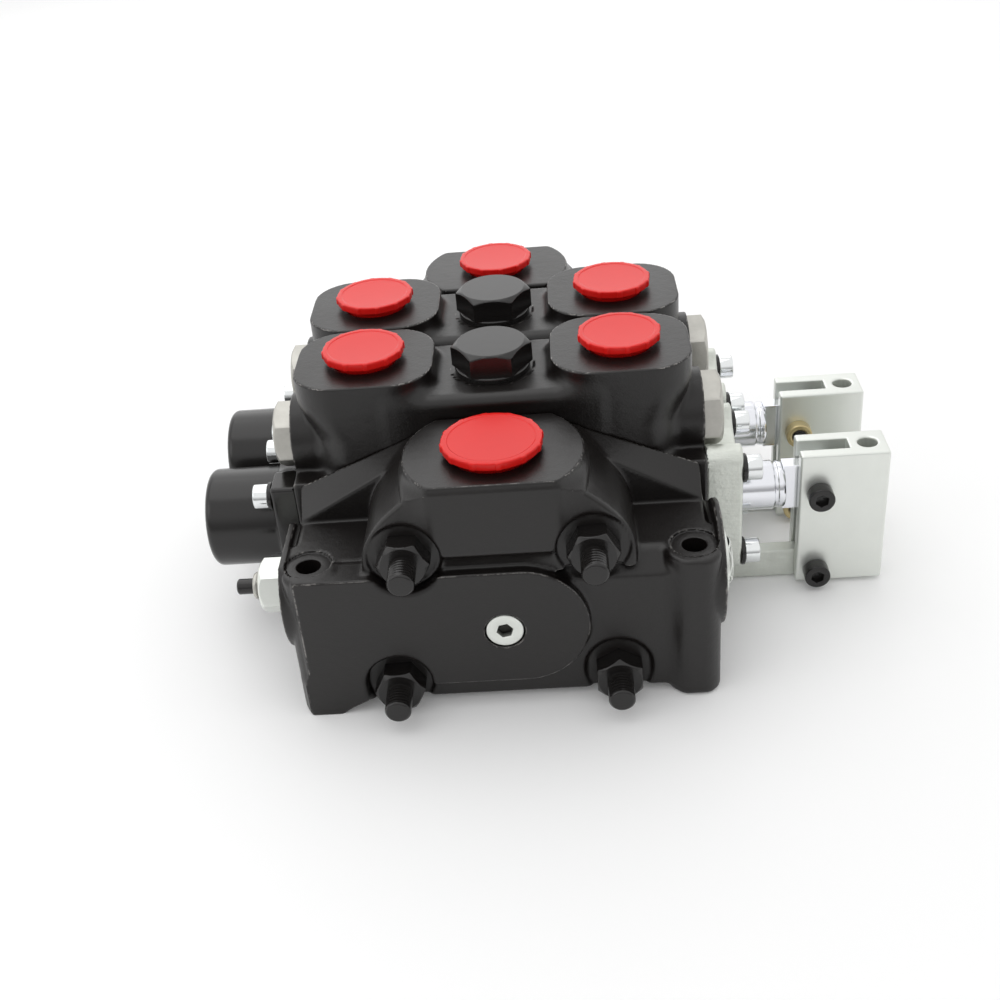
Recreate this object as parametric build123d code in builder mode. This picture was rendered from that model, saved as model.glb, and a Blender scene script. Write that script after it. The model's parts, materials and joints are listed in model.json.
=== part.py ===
"""A two-section hydraulic directional control valve with lever blocks, in millimetres.

X runs along the spools towards the levers, Y runs through the stack from the
inlet cover to the outlet cover, and Z points up. The origin lies on the mounting
plane, in the middle of the four mounting holes.
"""

from math import sqrt
import os

from build123d import *

os.makedirs("parts", exist_ok=True)

# Stack of covers and sections
section_count = 2
section_pitch = 50.0
inlet_depth = 50.5
outlet_depth = 44.5
stack_length = inlet_depth + section_count * section_pitch + outlet_depth
front_y = -stack_length / 2
rear_y = stack_length / 2
end_x = 80.0
foot_height = 3.0
running_clearance = 0.03
fit_clearance = 0.1

# Tie rods, M10
rod_diameter = 10.0
rod_hole_diameter = 11.0
rod_upper_x = 33.9
rod_upper_z = 68.4
rod_lower_x = 41.5
rod_lower_z = 10.8
rod_overhang = 13.5
nut_width = 17.0
nut_height = 8.0
nut_recess_radius = 11.8
nut_recess_depth = 5.5
nut_recess_rise = 2.6
rod_chamfer = 1.0

# Mounting holes, for M8 screws
cover_half_width = 77.0
mount_hole_diameter = 9.0
mount_face_diameter = 17.0
mount_face_depth = 1.0
mount_inset = 6.5
mount_x = cover_half_width - mount_inset
mount_edge = 12.6
ledge_z = 62.0

# Cover castings
pad_depth = 4.0
pad_inset = 2.0
pad_left_x = pad_inset - cover_half_width
pad_bottom_z = 12.0
pad_round_x = 6.6
column_half_width = 10.3
column_flat = 9.0
foot_width = 10.5
foot_round = 8.0
foot_root = 1.0
inlet_port_z = 98.3
inlet_boss_radius = 32.8
outlet_port_z = 106.0
outlet_boss_radius = 31.5
boss_height = 9.0
boss_set_back = 1.4
shoulder_inset = 27.0
shoulder_half_width = cover_half_width - shoulder_inset
web_front = 40.0
web_low_rise = 0.6
web_low_slope = 0.588
web_high_rise = 11.4
web_high_slope = 0.419
web_inset = 1.0
web_outer_x = cover_half_width - web_inset
web_root = 2.0
inlet_disc_radius = 23.5
outlet_disc_radius = 20.5
side_disc_height = 4.5
side_disc_root = 1.0
side_disc_z = 44.5

# Section castings
spool_z = 44.5
spool_diameter = 20.0
port_x = 49.0
port_z = 113.0
port_boss_length = 53.4
port_boss_flat = 24.6
port_boss_corner = 17.0
saddle_z = 106.0
saddle_half_width = 30.0
saddle_rounding = 9.0
section_base_z = 73.0
gallery_diameter = 27.0
gallery_width = 8.0
bridge_gallery_x = 17.0
work_gallery_offset = 6.0
work_channel_offset = 3.0
pressure_gallery_z = 22.0
pressure_gallery_diameter = 14.0
gallery_bore_diameter = 12.0
tank_gallery_x = 64.0
tank_gallery_diameter = 12.0
link_bore_diameter = 10.0
face_seal_width = 2.5
face_seal_depth = 1.6
face_seal_gap = 0.5

# Ports and their transport caps
port_thread_diameter = 24.5
port_thread_depth = 18.0
port_channel_diameter = 15.0
main_thread_diameter = 30.5
main_channel_diameter = 22.5
port_cap_diameter = 32.0
main_cap_diameter = 37.5
cap_flange = 3.2
cap_lift = 2.2
cap_notches = 12
cap_notch_radius = 1.1
cap_plug_depth = 9.0
cap_wall = 2.4

# Load check under the saddle plug
check_plug_width = 27.0
check_plug_head = 11.0
check_plug_collar = 2.0
check_thread_diameter = 20.0
check_thread_depth = 16.0
check_bore_diameter = 14.0
check_seat_z = 66.0
check_seat_diameter = 9.0
poppet_length = 14.0
poppet_lift = 3.0
poppet_wall = 2.5
check_ceiling_depth = 8.0
check_spring_clearance = 0.6
check_spring_wall = 1.2
check_spring_gap = 0.5
hex_chamfer = 1.0

# Side plugs of the sections
side_plug_z = 82.0
side_plug_left_width = 24.0
side_plug_right_width = 27.0
side_plug_head = 7.5
side_plug_thread = 18.0
side_plug_depth = 13.0
side_channel_diameter = 9.0
side_boss_diameter = 33.0
side_plug_turn = 20

# Spring caps, brackets and their screws, M6
cap_radius = 20.0
cap_end_x = -120.0
cap_wall_thickness = 3.0
cap_end_radius = 4.0
flange_thickness = 10.0
flange_round = 0.8
flange_half_width = 23.5
flange_top_rise = 26.0
plug_clearance = 1.0
flange_bottom_drop = 27.0
screw_y = 17.5
screw_rise = 19.6
screw_diameter = 6.0
screw_hole_clearance = 0.3
screw_head_diameter = 10.0
screw_head_height = 6.0
screw_socket_width = 5.0
screw_socket_depth = 3.0
washer_diameter = 11.4
washer_thickness = 1.5
screw_depth = 12.0
screw_tip_gap = 2.0

# Lever bracket
bracket_thickness = 14.0
bracket_top_z = 74.0
bracket_bottom_z = 1.0
bracket_half_width = 22.5
bracket_corner = 7.0
bracket_bore_clearance = 1.0
arm_thickness = 6.5
arm_height = 13.0
pivot_x = 126.5
pivot_z = 7.2
pivot_diameter = 6.0
pivot_clearance = 0.05
eye_clearance = 0.15

# Spool ends
spool_left_x = -88.0
spool_neck_x = 110.6
collar_end_x = 113.4
collar_diameter = 17.0
tongue_thickness = 6.5
tongue_height = 20.0
tongue_reach = 7.2
land_groove_diameter = 13.0
land_groove_width = 12.0
outer_groove_offset = 10.0
inner_groove_x = 25.0
tongue_root = 1.0
tongue_round = 4.0
eye_length = 1.4
spool_chamfer = 1.0
seal_width = 3.0
seal_thickness = 2.6

# Centring spring in the cap
seat_thickness = 2.0
seat_diameter = 24.0
spring_length = 12.0
spring_wire = 2.5
spring_diameter = 20.0
end_bolt_diameter = 8.0
end_bolt_head = 13.0
end_bolt_head_height = 4.0
end_bolt_depth = 15.0
end_bolt_gap = 1.0

# Lever blocks
block_left_x = 118.5
block_right_x = 153.7
block_thickness = 18.0
block_bottom_z = 1.5
block_top_z = 62.0
block_slot_width = 7.5
block_slot_end_x = 138.5
block_chamfer = 0.6
lever_thread_x = 146.1
lever_thread_diameter = 8.0
lever_thread_depth = 24.0
lever_nut_diameter = 11.0
lever_nut_height = 5.0
lever_screw_head = 10.4
lever_screw_head_height = 6.0

# Relief valve and plugs of the covers
relief_hex_width = 19.0
relief_hex_height = 8.0
relief_body_diameter = 14.0
relief_body_length = 34.0
relief_bore_diameter = 9.0
relief_nut_width = 10.0
relief_nut_height = 3.0
relief_screw_diameter = 6.0
relief_screw_length = 26.0
relief_screw_overhang = 8.5
relief_poppet_length = 9.0
relief_poppet_lift = 1.5
relief_spring_diameter = 8.0
relief_spring_wall = 1.4
relief_spring_gap = 0.3
relief_seat_wall = 3.0
relief_turn = 12
cover_plug_width = 24.0
cover_plug_head = 4.0
cover_plug_thread = 14.0
cover_plug_depth = 12.0
outlet_plug_depth = 6.0
gauge_plug_diameter = 14.0
gauge_plug_recess = 0.5
gauge_plug_depth = 9.0
gauge_plug_z = 35.6
gauge_socket_width = 6.0
gauge_socket_depth = 4.0

inlet_mid_y = front_y + inlet_depth / 2
outlet_mid_y = rear_y - outlet_depth / 2
section_y = [front_y + inlet_depth + (n + 0.5) * section_pitch for n in range(section_count)]
rod_places = [
    (-rod_upper_x, rod_upper_z),
    (rod_upper_x, rod_upper_z),
    (-rod_lower_x, rod_lower_z),
    (rod_lower_x, rod_lower_z),
]
screw_places = [(-screw_y, screw_rise), (screw_y, screw_rise), (-screw_y, -screw_rise), (screw_y, -screw_rise)]
bracket_face_x = end_x + bracket_thickness
flange_face_x = -end_x - flange_thickness


def at_y(y):
    """Upright plane at y whose outward side faces the front."""
    return Plane.XZ.offset(-y)


def at_x(x):
    """Upright plane at x that faces the levers, with Y across and Z up."""
    return Plane.YZ.offset(x)


def across_corners(width):
    """Radius over the corners of a hexagon of that width across flats."""
    return width / sqrt(3)


def bore_z(x, y, z_low, z_high, diameter, mode=Mode.SUBTRACT):
    """A round hole or pin along Z."""
    with BuildSketch(Plane.XY.offset(z_low)) as outline:
        with Locations((x, y)):
            Circle(diameter / 2)
    extrude(outline.sketch, amount=z_high - z_low, mode=mode)


def bore_x(y, z, x_low, x_high, diameter, mode=Mode.SUBTRACT):
    """A round hole or pin along X."""
    with BuildSketch(at_x(x_low)) as outline:
        with Locations((y, z)):
            Circle(diameter / 2)
    extrude(outline.sketch, amount=x_high - x_low, mode=mode)


def bore_y(x, z, y_low, y_high, diameter, mode=Mode.SUBTRACT):
    """A round hole or pin along Y."""
    with BuildSketch(at_y(y_high)) as outline:
        with Locations((x, z)):
            Circle(diameter / 2)
    extrude(outline.sketch, amount=y_high - y_low, mode=mode)


def block(x_low, x_high, y_low, y_high, z_low, z_high, mode=Mode.ADD):
    """A square block between those corners."""
    with BuildSketch(Plane.XY.offset(z_low)) as outline:
        with Locations(((x_low + x_high) / 2, (y_low + y_high) / 2)):
            Rectangle(x_high - x_low, y_high - y_low)
    extrude(outline.sketch, amount=z_high - z_low, mode=mode)


def boss_outline(y, radius, y_low, y_high):
    """A round port boss cut flat by the faces of its casting."""
    with Locations((0, y)):
        Circle(radius)
    with Locations((0, (y_low + y_high) / 2)):
        Rectangle(2 * radius, y_high - y_low, mode=Mode.INTERSECT)


def save(part, name):
    """Labels a piece and writes its file."""
    part.label = name
    export_step(part, f"parts/{name}.step")


def cover(y_outer, y_inner, boss_z, boss_radius, disc_radius, pad):
    """An end cover's casting, with its outer face at y_outer and the sections at y_inner."""
    out = 1 if y_outer > y_inner else -1
    y_low, y_high = min(y_outer, y_inner), max(y_outer, y_inner)
    y_body = y_outer - out * pad_depth
    y_ledge = y_outer - out * mount_edge
    y_mid = (y_low + y_high) / 2
    web_y = y_outer - out * web_front
    with BuildPart() as casting:
        # Body below the ledge
        body_low, body_high = min(y_body, y_inner), max(y_body, y_inner)
        block(-cover_half_width, cover_half_width, body_low, body_high, foot_height, ledge_z)
        # Eight-sided columns that carry the mounting holes and stand on the mounting plane
        for side in (-1, 1):
            with BuildSketch(Plane.XY):
                with Locations((side * mount_x, y_ledge)):
                    Rectangle(2 * column_half_width, 2 * mount_edge)
                chamfer(vertices().group_by(Axis.Y)[0 if out < 0 else -1], column_half_width - column_flat / 2)
            extrude(amount=ledge_z)
        if pad:
            # Raised front pad, round at its right end
            pad_radius = (ledge_z - pad_bottom_z) / 2
            with BuildSketch(at_y(y_body)):
                with Locations((pad_round_x, pad_bottom_z + pad_radius)):
                    Circle(pad_radius)
                with Locations(((pad_left_x + pad_round_x) / 2, pad_bottom_z + pad_radius)):
                    Rectangle(pad_round_x - pad_left_x, 2 * pad_radius)
            extrude(amount=pad_depth)
            # Foot under the pad, with a hollow curve on its inner side
            foot_x = pad_left_x + foot_width
            foot_top_z = pad_bottom_z + foot_root
            with BuildSketch(at_y(y_ledge)):
                with BuildLine():
                    Line((pad_left_x, foot_top_z), (pad_left_x, 0))
                    Line((pad_left_x, 0), (foot_x, 0))
                    RadiusArc((foot_x, 0), (foot_x + foot_round, foot_round), foot_round)
                    Line((foot_x + foot_round, foot_round), (foot_x + foot_round, foot_top_z))
                    Line((foot_x + foot_round, foot_top_z), (pad_left_x, foot_top_z))
                make_face()
            extrude(amount=mount_edge)
        # Shoulder that narrows to the port boss
        with BuildSketch(Plane.XY.offset(ledge_z)):
            with Locations((0, y_mid)):
                Rectangle(2 * shoulder_half_width, y_high - y_low)
        y_back = y_outer - out * boss_set_back
        boss_low, boss_high = min(y_back, y_inner), max(y_back, y_inner)
        with BuildSketch(Plane.XY.offset(boss_z - boss_height)):
            boss_outline(y_mid, boss_radius, boss_low, boss_high)
        loft()
        with BuildSketch(Plane.XY.offset(boss_z - boss_height)):
            boss_outline(y_mid, boss_radius, boss_low, boss_high)
        extrude(amount=boss_height)
        # Sloping webs from the boss to both ends
        for side in (-1, 1):
            inner = boss_radius - web_root
            run = web_outer_x - inner
            with BuildSketch(at_y(web_y)):
                with BuildLine():
                    Polyline(
                        (side * web_outer_x, ledge_z),
                        (side * web_outer_x, ledge_z + web_low_rise),
                        (side * inner, ledge_z + web_low_rise + web_low_slope * run),
                        (side * inner, ledge_z),
                        close=True,
                    )
                make_face()
            with BuildSketch(at_y(y_inner)):
                with BuildLine():
                    Polyline(
                        (side * web_outer_x, ledge_z),
                        (side * web_outer_x, ledge_z + web_high_rise),
                        (side * inner, ledge_z + web_high_rise + web_high_slope * run),
                        (side * inner, ledge_z),
                        close=True,
                    )
                make_face()
            loft()
        # Machined round faces at both ends
        for side in (-1, 1):
            x_disc = side * (cover_half_width + side_disc_height)
            x_root = side * (cover_half_width - side_disc_root)
            bore_x(y_mid, side_disc_z, min(x_root, x_disc), max(x_root, x_disc), 2 * disc_radius, mode=Mode.ADD)
        # Mounting holes with their spot faces
        for side in (-1, 1):
            bore_z(side * mount_x, y_ledge, 0, ledge_z, mount_hole_diameter)
            bore_z(side * mount_x, y_ledge, ledge_z - mount_face_depth, ledge_z, mount_face_diameter)
        # Tie rod holes and the recesses for their nuts
        for x, z in rod_places:
            bore_y(x, z, y_low, y_high, rod_hole_diameter)
            y_seat = y_outer - out * nut_recess_depth
            with BuildSketch(at_y(max(y_outer, y_seat))) as recess:
                if z == rod_lower_z:
                    with Locations((x, z + nut_recess_rise / 2)):
                        SlotCenterToCenter(nut_recess_rise, 2 * nut_recess_radius, rotation=90)
                else:
                    with Locations((x, z)):
                        Circle(nut_recess_radius)
            extrude(recess.sketch, amount=nut_recess_depth, mode=Mode.SUBTRACT)
    return casting.part


def section(y):
    """A section's casting with its bores."""
    y_low, y_high = y - section_pitch / 2, y + section_pitch / 2
    with BuildPart() as casting:
        block(-end_x, end_x, y_low, y_high, foot_height, section_base_z)
        # Port towers
        for side in (-1, 1):
            with BuildSketch(Plane.XY.offset(section_base_z)):
                with Locations((side * port_x, y)):
                    RectangleRounded(port_boss_length, 2 * port_boss_flat, port_boss_corner)
            extrude(amount=port_z - section_base_z)
        # Saddle between the towers
        with BuildSketch(at_x(-saddle_half_width)):
            with Locations((y, (section_base_z + saddle_z) / 2)):
                Rectangle(2 * port_boss_flat, saddle_z - section_base_z)
            fillet(vertices().group_by(Axis.Y)[-1], saddle_rounding)
        extrude(amount=2 * saddle_half_width)
        # Bosses of the side plugs
        for side in (-1, 1):
            x_outer = side * end_x
            bore_x(y, side_plug_z, min(0, x_outer), max(0, x_outer), side_boss_diameter, mode=Mode.ADD)
        # Spool bore with its galleries
        bore_x(y, spool_z, -end_x, end_x, spool_diameter + 2 * running_clearance)
        work_gallery_x = port_x - work_gallery_offset
        for x in (-tank_gallery_x, -work_gallery_x, -bridge_gallery_x, 0, bridge_gallery_x, work_gallery_x, tank_gallery_x):
            bore_x(y, spool_z, x - gallery_width / 2, x + gallery_width / 2, gallery_diameter)
        # Seats of the spool seals
        for side in (-1, 1):
            x_seat = side * (end_x - seal_width)
            diameter = spool_diameter + 2 * seal_thickness
            bore_x(y, spool_z, min(side * end_x, x_seat), max(side * end_x, x_seat), diameter)
        # Work ports
        for side in (-1, 1):
            bore_z(side * port_x, y, port_z - port_thread_depth, port_z, port_thread_diameter)
            x_channel = side * (port_x - work_channel_offset)
            bore_z(x_channel, y, spool_z, port_z - port_thread_depth, port_channel_diameter)
        # Load check
        bore_z(0, y, saddle_z - check_thread_depth, saddle_z, check_thread_diameter)
        bore_z(0, y, check_seat_z, saddle_z - check_thread_depth, check_bore_diameter)
        bore_z(0, y, pressure_gallery_z, check_seat_z, check_seat_diameter)
        # Side plug bores
        for side in (-1, 1):
            x_outer, x_inner = side * end_x, side * (end_x - side_plug_depth)
            bore_x(y, side_plug_z, min(x_outer, x_inner), max(x_outer, x_inner), side_plug_thread)
            x_port = side * port_x
            bore_x(y, side_plug_z, min(x_port, x_inner), max(x_port, x_inner), side_channel_diameter)
        # Pressure and tank galleries through the stack
        bore_y(0, pressure_gallery_z, y_low, y_high, pressure_gallery_diameter)
        for side in (-1, 1):
            bore_y(side * tank_gallery_x, pressure_gallery_z, y_low, y_high, tank_gallery_diameter)
            bore_z(side * tank_gallery_x, y, pressure_gallery_z, spool_z, link_bore_diameter)
        for x, diameter in seal_places:
            bore_y(x, pressure_gallery_z, y_low, y_low + face_seal_depth, diameter + 2 * face_seal_width)
        for x, z in rod_places:
            bore_y(x, z, y_low, y_high, rod_hole_diameter)
        # Threads of the end screws
        for dy, dz in screw_places:
            bore_x(y + dy, spool_z + dz, -end_x, -end_x + screw_depth, screw_diameter)
            bore_x(y + dy, spool_z + dz, end_x - screw_depth, end_x, screw_diameter)
    return casting.part


seal_places = [
    (0, pressure_gallery_diameter),
    (-tank_gallery_x, tank_gallery_diameter),
    (tank_gallery_x, tank_gallery_diameter),
]

# Inlet cover
with BuildPart() as inlet_cover:
    add(cover(front_y, front_y + inlet_depth, inlet_port_z, inlet_boss_radius, inlet_disc_radius, True))
    bore_z(0, inlet_mid_y, inlet_port_z - port_thread_depth, inlet_port_z, main_thread_diameter)
    bore_z(0, inlet_mid_y, side_disc_z, inlet_port_z - port_thread_depth, main_channel_diameter)
    # Relief valve cavity on the left and a plugged cavity on the right
    bore_x(inlet_mid_y, side_disc_z, -cover_half_width - side_disc_height, 0, relief_body_diameter + 2 * fit_clearance)
    bore_x(
        inlet_mid_y,
        side_disc_z,
        cover_half_width + side_disc_height - cover_plug_depth,
        cover_half_width + side_disc_height,
        cover_plug_thread,
    )
    bore_x(
        inlet_mid_y, side_disc_z, 0, cover_half_width + side_disc_height - cover_plug_depth, gallery_bore_diameter
    )
    bore_y(0, pressure_gallery_z, inlet_mid_y, front_y + inlet_depth, pressure_gallery_diameter)
    bore_z(0, inlet_mid_y, pressure_gallery_z, side_disc_z, gallery_bore_diameter)
    for side in (-1, 1):
        bore_y(side * tank_gallery_x, pressure_gallery_z, inlet_mid_y, front_y + inlet_depth, tank_gallery_diameter)
    bore_y(0, gauge_plug_z, front_y, front_y + gauge_plug_recess + gauge_plug_depth, gauge_plug_diameter)
save(inlet_cover.part, "inlet_cover")

# Sections
for n, y in enumerate(section_y, 1):
    with BuildPart() as valve_section:
        add(section(y))
    save(valve_section.part, f"valve_section_{n}")

# Outlet cover
with BuildPart() as outlet_cover:
    add(cover(rear_y, rear_y - outlet_depth, outlet_port_z, outlet_boss_radius, outlet_disc_radius, False))
    bore_z(0, outlet_mid_y, outlet_port_z - port_thread_depth, outlet_port_z, port_thread_diameter)
    bore_z(0, outlet_mid_y, pressure_gallery_z, outlet_port_z - port_thread_depth, port_channel_diameter)
    for side in (-1, 1):
        x_outer = side * (cover_half_width + side_disc_height)
        x_inner = x_outer - side * outlet_plug_depth
        bore_x(outlet_mid_y, side_disc_z, min(x_outer, x_inner), max(x_outer, x_inner), cover_plug_thread)
    bore_x(outlet_mid_y, pressure_gallery_z, -tank_gallery_x, tank_gallery_x, link_bore_diameter)
    for side in (-1, 1):
        bore_y(
            side * tank_gallery_x, pressure_gallery_z, rear_y - outlet_depth, outlet_mid_y, tank_gallery_diameter
        )
    for x, diameter in seal_places:
        bore_y(
            x,
            pressure_gallery_z,
            rear_y - outlet_depth,
            rear_y - outlet_depth + face_seal_depth,
            diameter + 2 * face_seal_width,
        )
save(outlet_cover.part, "outlet_cover")

# Seals between the faces of the stack
with BuildPart() as face_seals:
    for y in [y - section_pitch / 2 for y in section_y] + [rear_y - outlet_depth]:
        for x, diameter in seal_places:
            bore_y(
                x, pressure_gallery_z, y, y + face_seal_depth, diameter + 2 * face_seal_width, mode=Mode.ADD
            )
            bore_y(x, pressure_gallery_z, y, y + face_seal_depth, diameter + 2 * face_seal_gap)
save(face_seals.part, "face_seals")

# Tie rods and their nuts
with BuildPart() as tie_rods:
    for x, z in rod_places:
        bore_y(x, z, front_y - rod_overhang, rear_y + rod_overhang, rod_diameter, mode=Mode.ADD)
    chamfer(tie_rods.edges().filter_by(GeomType.CIRCLE), rod_chamfer)
save(tie_rods.part, "tie_rods")

for name, seat_y, out in (
    ("tie_rod_nuts_front", front_y + nut_recess_depth, -1),
    ("tie_rod_nuts_rear", rear_y - nut_recess_depth, 1),
):
    with BuildPart() as nuts:
        for index, (x, z) in enumerate(rod_places):
            with BuildSketch(at_y(seat_y if out < 0 else seat_y + nut_height)):
                with Locations((x, z)):
                    RegularPolygon(across_corners(nut_width), 6, rotation=30 if index == 3 else 0)
                    Circle(rod_diameter / 2, mode=Mode.SUBTRACT)
            extrude(amount=nut_height)
    save(nuts.part, name)


def port_cap(x, y, z, diameter, thread):
    """A plastic transport cap: a notched flange on a hollow plug."""
    with BuildPart() as cap:
        with BuildSketch(Plane.XY.offset(z + cap_lift)):
            with Locations((x, y)):
                Circle(diameter / 2)
                with PolarLocations(diameter / 2, cap_notches):
                    Circle(cap_notch_radius, mode=Mode.SUBTRACT)
        extrude(amount=cap_flange)
        plug = thread - 2 * fit_clearance
        bore_z(x, y, z - cap_plug_depth, z + cap_lift, plug, mode=Mode.ADD)
        bore_z(x, y, z - cap_plug_depth, z + cap_lift, plug - 2 * cap_wall)
    return cap.part


save(port_cap(0, inlet_mid_y, inlet_port_z, main_cap_diameter, main_thread_diameter), "port_cap_p")
save(port_cap(0, outlet_mid_y, outlet_port_z, port_cap_diameter, port_thread_diameter), "port_cap_t")
for n, y in enumerate(section_y, 1):
    save(port_cap(-port_x, y, port_z, port_cap_diameter, port_thread_diameter), f"port_cap_a{n}")
    save(port_cap(port_x, y, port_z, port_cap_diameter, port_thread_diameter), f"port_cap_b{n}")

# Load checks: plug, poppet and spring
check_ceiling_z = saddle_z - check_ceiling_depth
poppet_top_z = check_seat_z + poppet_length
for n, y in enumerate(section_y, 1):
    with BuildPart() as check_plug:
        bore_z(0, y, saddle_z, saddle_z + check_plug_collar, check_plug_width, mode=Mode.ADD)
        with BuildSketch(Plane.XY.offset(saddle_z + check_plug_collar)):
            with Locations((0, y)):
                RegularPolygon(across_corners(check_plug_width), 6)
        extrude(amount=check_plug_head - check_plug_collar)
        chamfer(faces().sort_by(Axis.Z)[-1].edges(), hex_chamfer)
        bore_z(0, y, saddle_z - check_thread_depth, saddle_z, check_thread_diameter, mode=Mode.ADD)
        bore_z(0, y, saddle_z - check_thread_depth, check_ceiling_z, check_bore_diameter)
    save(check_plug.part, f"check_plug_{n}")

    with BuildPart() as check_poppet:
        poppet_diameter = check_bore_diameter - 2 * fit_clearance
        bore_z(0, y, check_seat_z, poppet_top_z, poppet_diameter, mode=Mode.ADD)
        bore_z(0, y, check_seat_z + poppet_wall, poppet_top_z, poppet_diameter - 2 * poppet_wall)
    save(check_poppet.part, f"check_poppet_{n}")

    with BuildPart() as check_spring:
        spring_outer = check_bore_diameter - 2 * poppet_wall - 2 * check_spring_clearance
        spring_top_z = check_ceiling_z - poppet_lift - check_spring_gap
        bore_z(0, y, check_seat_z + poppet_wall, spring_top_z, spring_outer, mode=Mode.ADD)
        bore_z(0, y, check_seat_z + poppet_wall, spring_top_z, spring_outer - 2 * check_spring_wall)
    save(check_spring.part, f"check_spring_{n}")

# Side plugs of the sections
for name, side, width in (
    ("side_plugs_left", -1, side_plug_left_width),
    ("side_plugs_right", 1, side_plug_right_width),
):
    with BuildPart() as side_plugs:
        for y in section_y:
            x_face, x_inner = side * end_x, side * (end_x - side_plug_depth)
            x_head = side * (end_x + side_plug_head)
            with BuildSketch(at_x(min(x_face, x_head))):
                with Locations((y, side_plug_z)):
                    RegularPolygon(across_corners(width), 6, rotation=side_plug_turn)
            extrude(amount=side_plug_head)
            bore_x(y, side_plug_z, min(x_face, x_inner), max(x_face, x_inner), side_plug_thread, mode=Mode.ADD)
    save(side_plugs.part, name)

# Spring caps
for n, y in enumerate(section_y, 1):
    with BuildPart() as spring_cap:
        bore_x(y, spool_z, cap_end_x, flange_face_x, 2 * cap_radius, mode=Mode.ADD)
        fillet(spring_cap.edges().filter_by(GeomType.CIRCLE).sort_by(Axis.X)[0], cap_end_radius)
        block(
            flange_face_x,
            -end_x,
            y - flange_half_width,
            y + flange_half_width,
            spool_z - flange_bottom_drop,
            spool_z + flange_top_rise,
        )
        fillet(spring_cap.faces().filter_by(Axis.X).sort_by(Axis.X)[-1].edges().filter_by(Axis.Y), flange_round)
        bore_x(y, spool_z, cap_end_x + cap_wall_thickness, -end_x, 2 * (cap_radius - cap_wall_thickness))
        notch_diameter = 2 * (across_corners(side_plug_left_width) + plug_clearance)
        bore_x(y, side_plug_z, flange_face_x, -end_x, notch_diameter)
        for dy, dz in screw_places:
            bore_x(y + dy, spool_z + dz, flange_face_x, -end_x, screw_diameter + 2 * screw_hole_clearance)
    save(spring_cap.part, f"spring_cap_{n}")


def socket_screw(y, z, x_face, side, length, head_diameter=screw_head_diameter):
    """A socket head screw along X with its head outside x_face."""
    x_head = x_face + side * screw_head_height
    x_tip = x_face - side * length
    bore_x(y, z, min(x_tip, x_face), max(x_tip, x_face), screw_diameter - 2 * fit_clearance, mode=Mode.ADD)
    bore_x(y, z, min(x_face, x_head), max(x_face, x_head), head_diameter, mode=Mode.ADD)
    x_socket = x_head - side * screw_socket_depth
    with BuildSketch(at_x(min(x_socket, x_head))) as socket:
        with Locations((y, z)):
            RegularPolygon(across_corners(screw_socket_width), 6)
    extrude(socket.sketch, amount=screw_socket_depth, mode=Mode.SUBTRACT)


def washer(y, z, x_face, side):
    """A washer along X on x_face."""
    x_outer = x_face + side * washer_thickness
    bore_x(y, z, min(x_face, x_outer), max(x_face, x_outer), washer_diameter, mode=Mode.ADD)
    bore_x(y, z, min(x_face, x_outer), max(x_face, x_outer), screw_diameter + 2 * screw_hole_clearance)


for prefix, x_face, side, grip in (
    ("spring_cap", flange_face_x, -1, flange_thickness),
    ("bracket", bracket_face_x, 1, bracket_thickness),
):
    with BuildPart() as washers:
        for y in section_y:
            for dy, dz in screw_places:
                washer(y + dy, spool_z + dz, x_face, side)
    save(washers.part, f"{prefix}_washers")
    with BuildPart() as screws:
        for y in section_y:
            for dy, dz in screw_places:
                x_seat = x_face + side * washer_thickness
                socket_screw(y + dy, spool_z + dz, x_seat, side, washer_thickness + grip + screw_depth - screw_tip_gap)
    save(screws.part, f"{prefix}_screws")

# Lever brackets
arm_low_z = pivot_z - arm_height / 2
for n, y in enumerate(section_y, 1):
    with BuildPart() as lever_bracket:
        with BuildSketch(at_x(end_x)):
            with Locations((y, (bracket_bottom_z + bracket_top_z) / 2)):
                RectangleRounded(2 * bracket_half_width, bracket_top_z - bracket_bottom_z, bracket_corner)
        extrude(amount=bracket_thickness)
        with BuildSketch(at_y(y + arm_thickness / 2)):
            with Locations((pivot_x, pivot_z)):
                Circle(arm_height / 2)
            with Locations(((end_x + pivot_x) / 2, pivot_z)):
                Rectangle(pivot_x - end_x, arm_height)
        extrude(amount=arm_thickness)
        bore_x(y, spool_z, end_x, bracket_face_x, spool_diameter + 2 * bracket_bore_clearance)
        notch_diameter = 2 * (across_corners(side_plug_right_width) + plug_clearance)
        bore_x(y, side_plug_z, end_x, bracket_face_x, notch_diameter)
        for dy, dz in screw_places:
            bore_x(y + dy, spool_z + dz, end_x, bracket_face_x, screw_diameter + 2 * screw_hole_clearance)
        bore_y(
            pivot_x,
            pivot_z,
            y - arm_thickness / 2,
            y + arm_thickness / 2,
            pivot_diameter + 2 * pivot_clearance,
        )
    save(lever_bracket.part, f"lever_bracket_{n}")

# Spool seals
for name, side in (("spool_seals_left", -1), ("spool_seals_right", 1)):
    with BuildPart() as spool_seals:
        for y in section_y:
            x_low = min(side * end_x, side * (end_x - seal_width))
            bore_x(y, spool_z, x_low, x_low + seal_width, spool_diameter + 2 * seal_thickness, mode=Mode.ADD)
            bore_x(y, spool_z, x_low, x_low + seal_width, spool_diameter + 2 * running_clearance)
    save(spool_seals.part, name)

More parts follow.
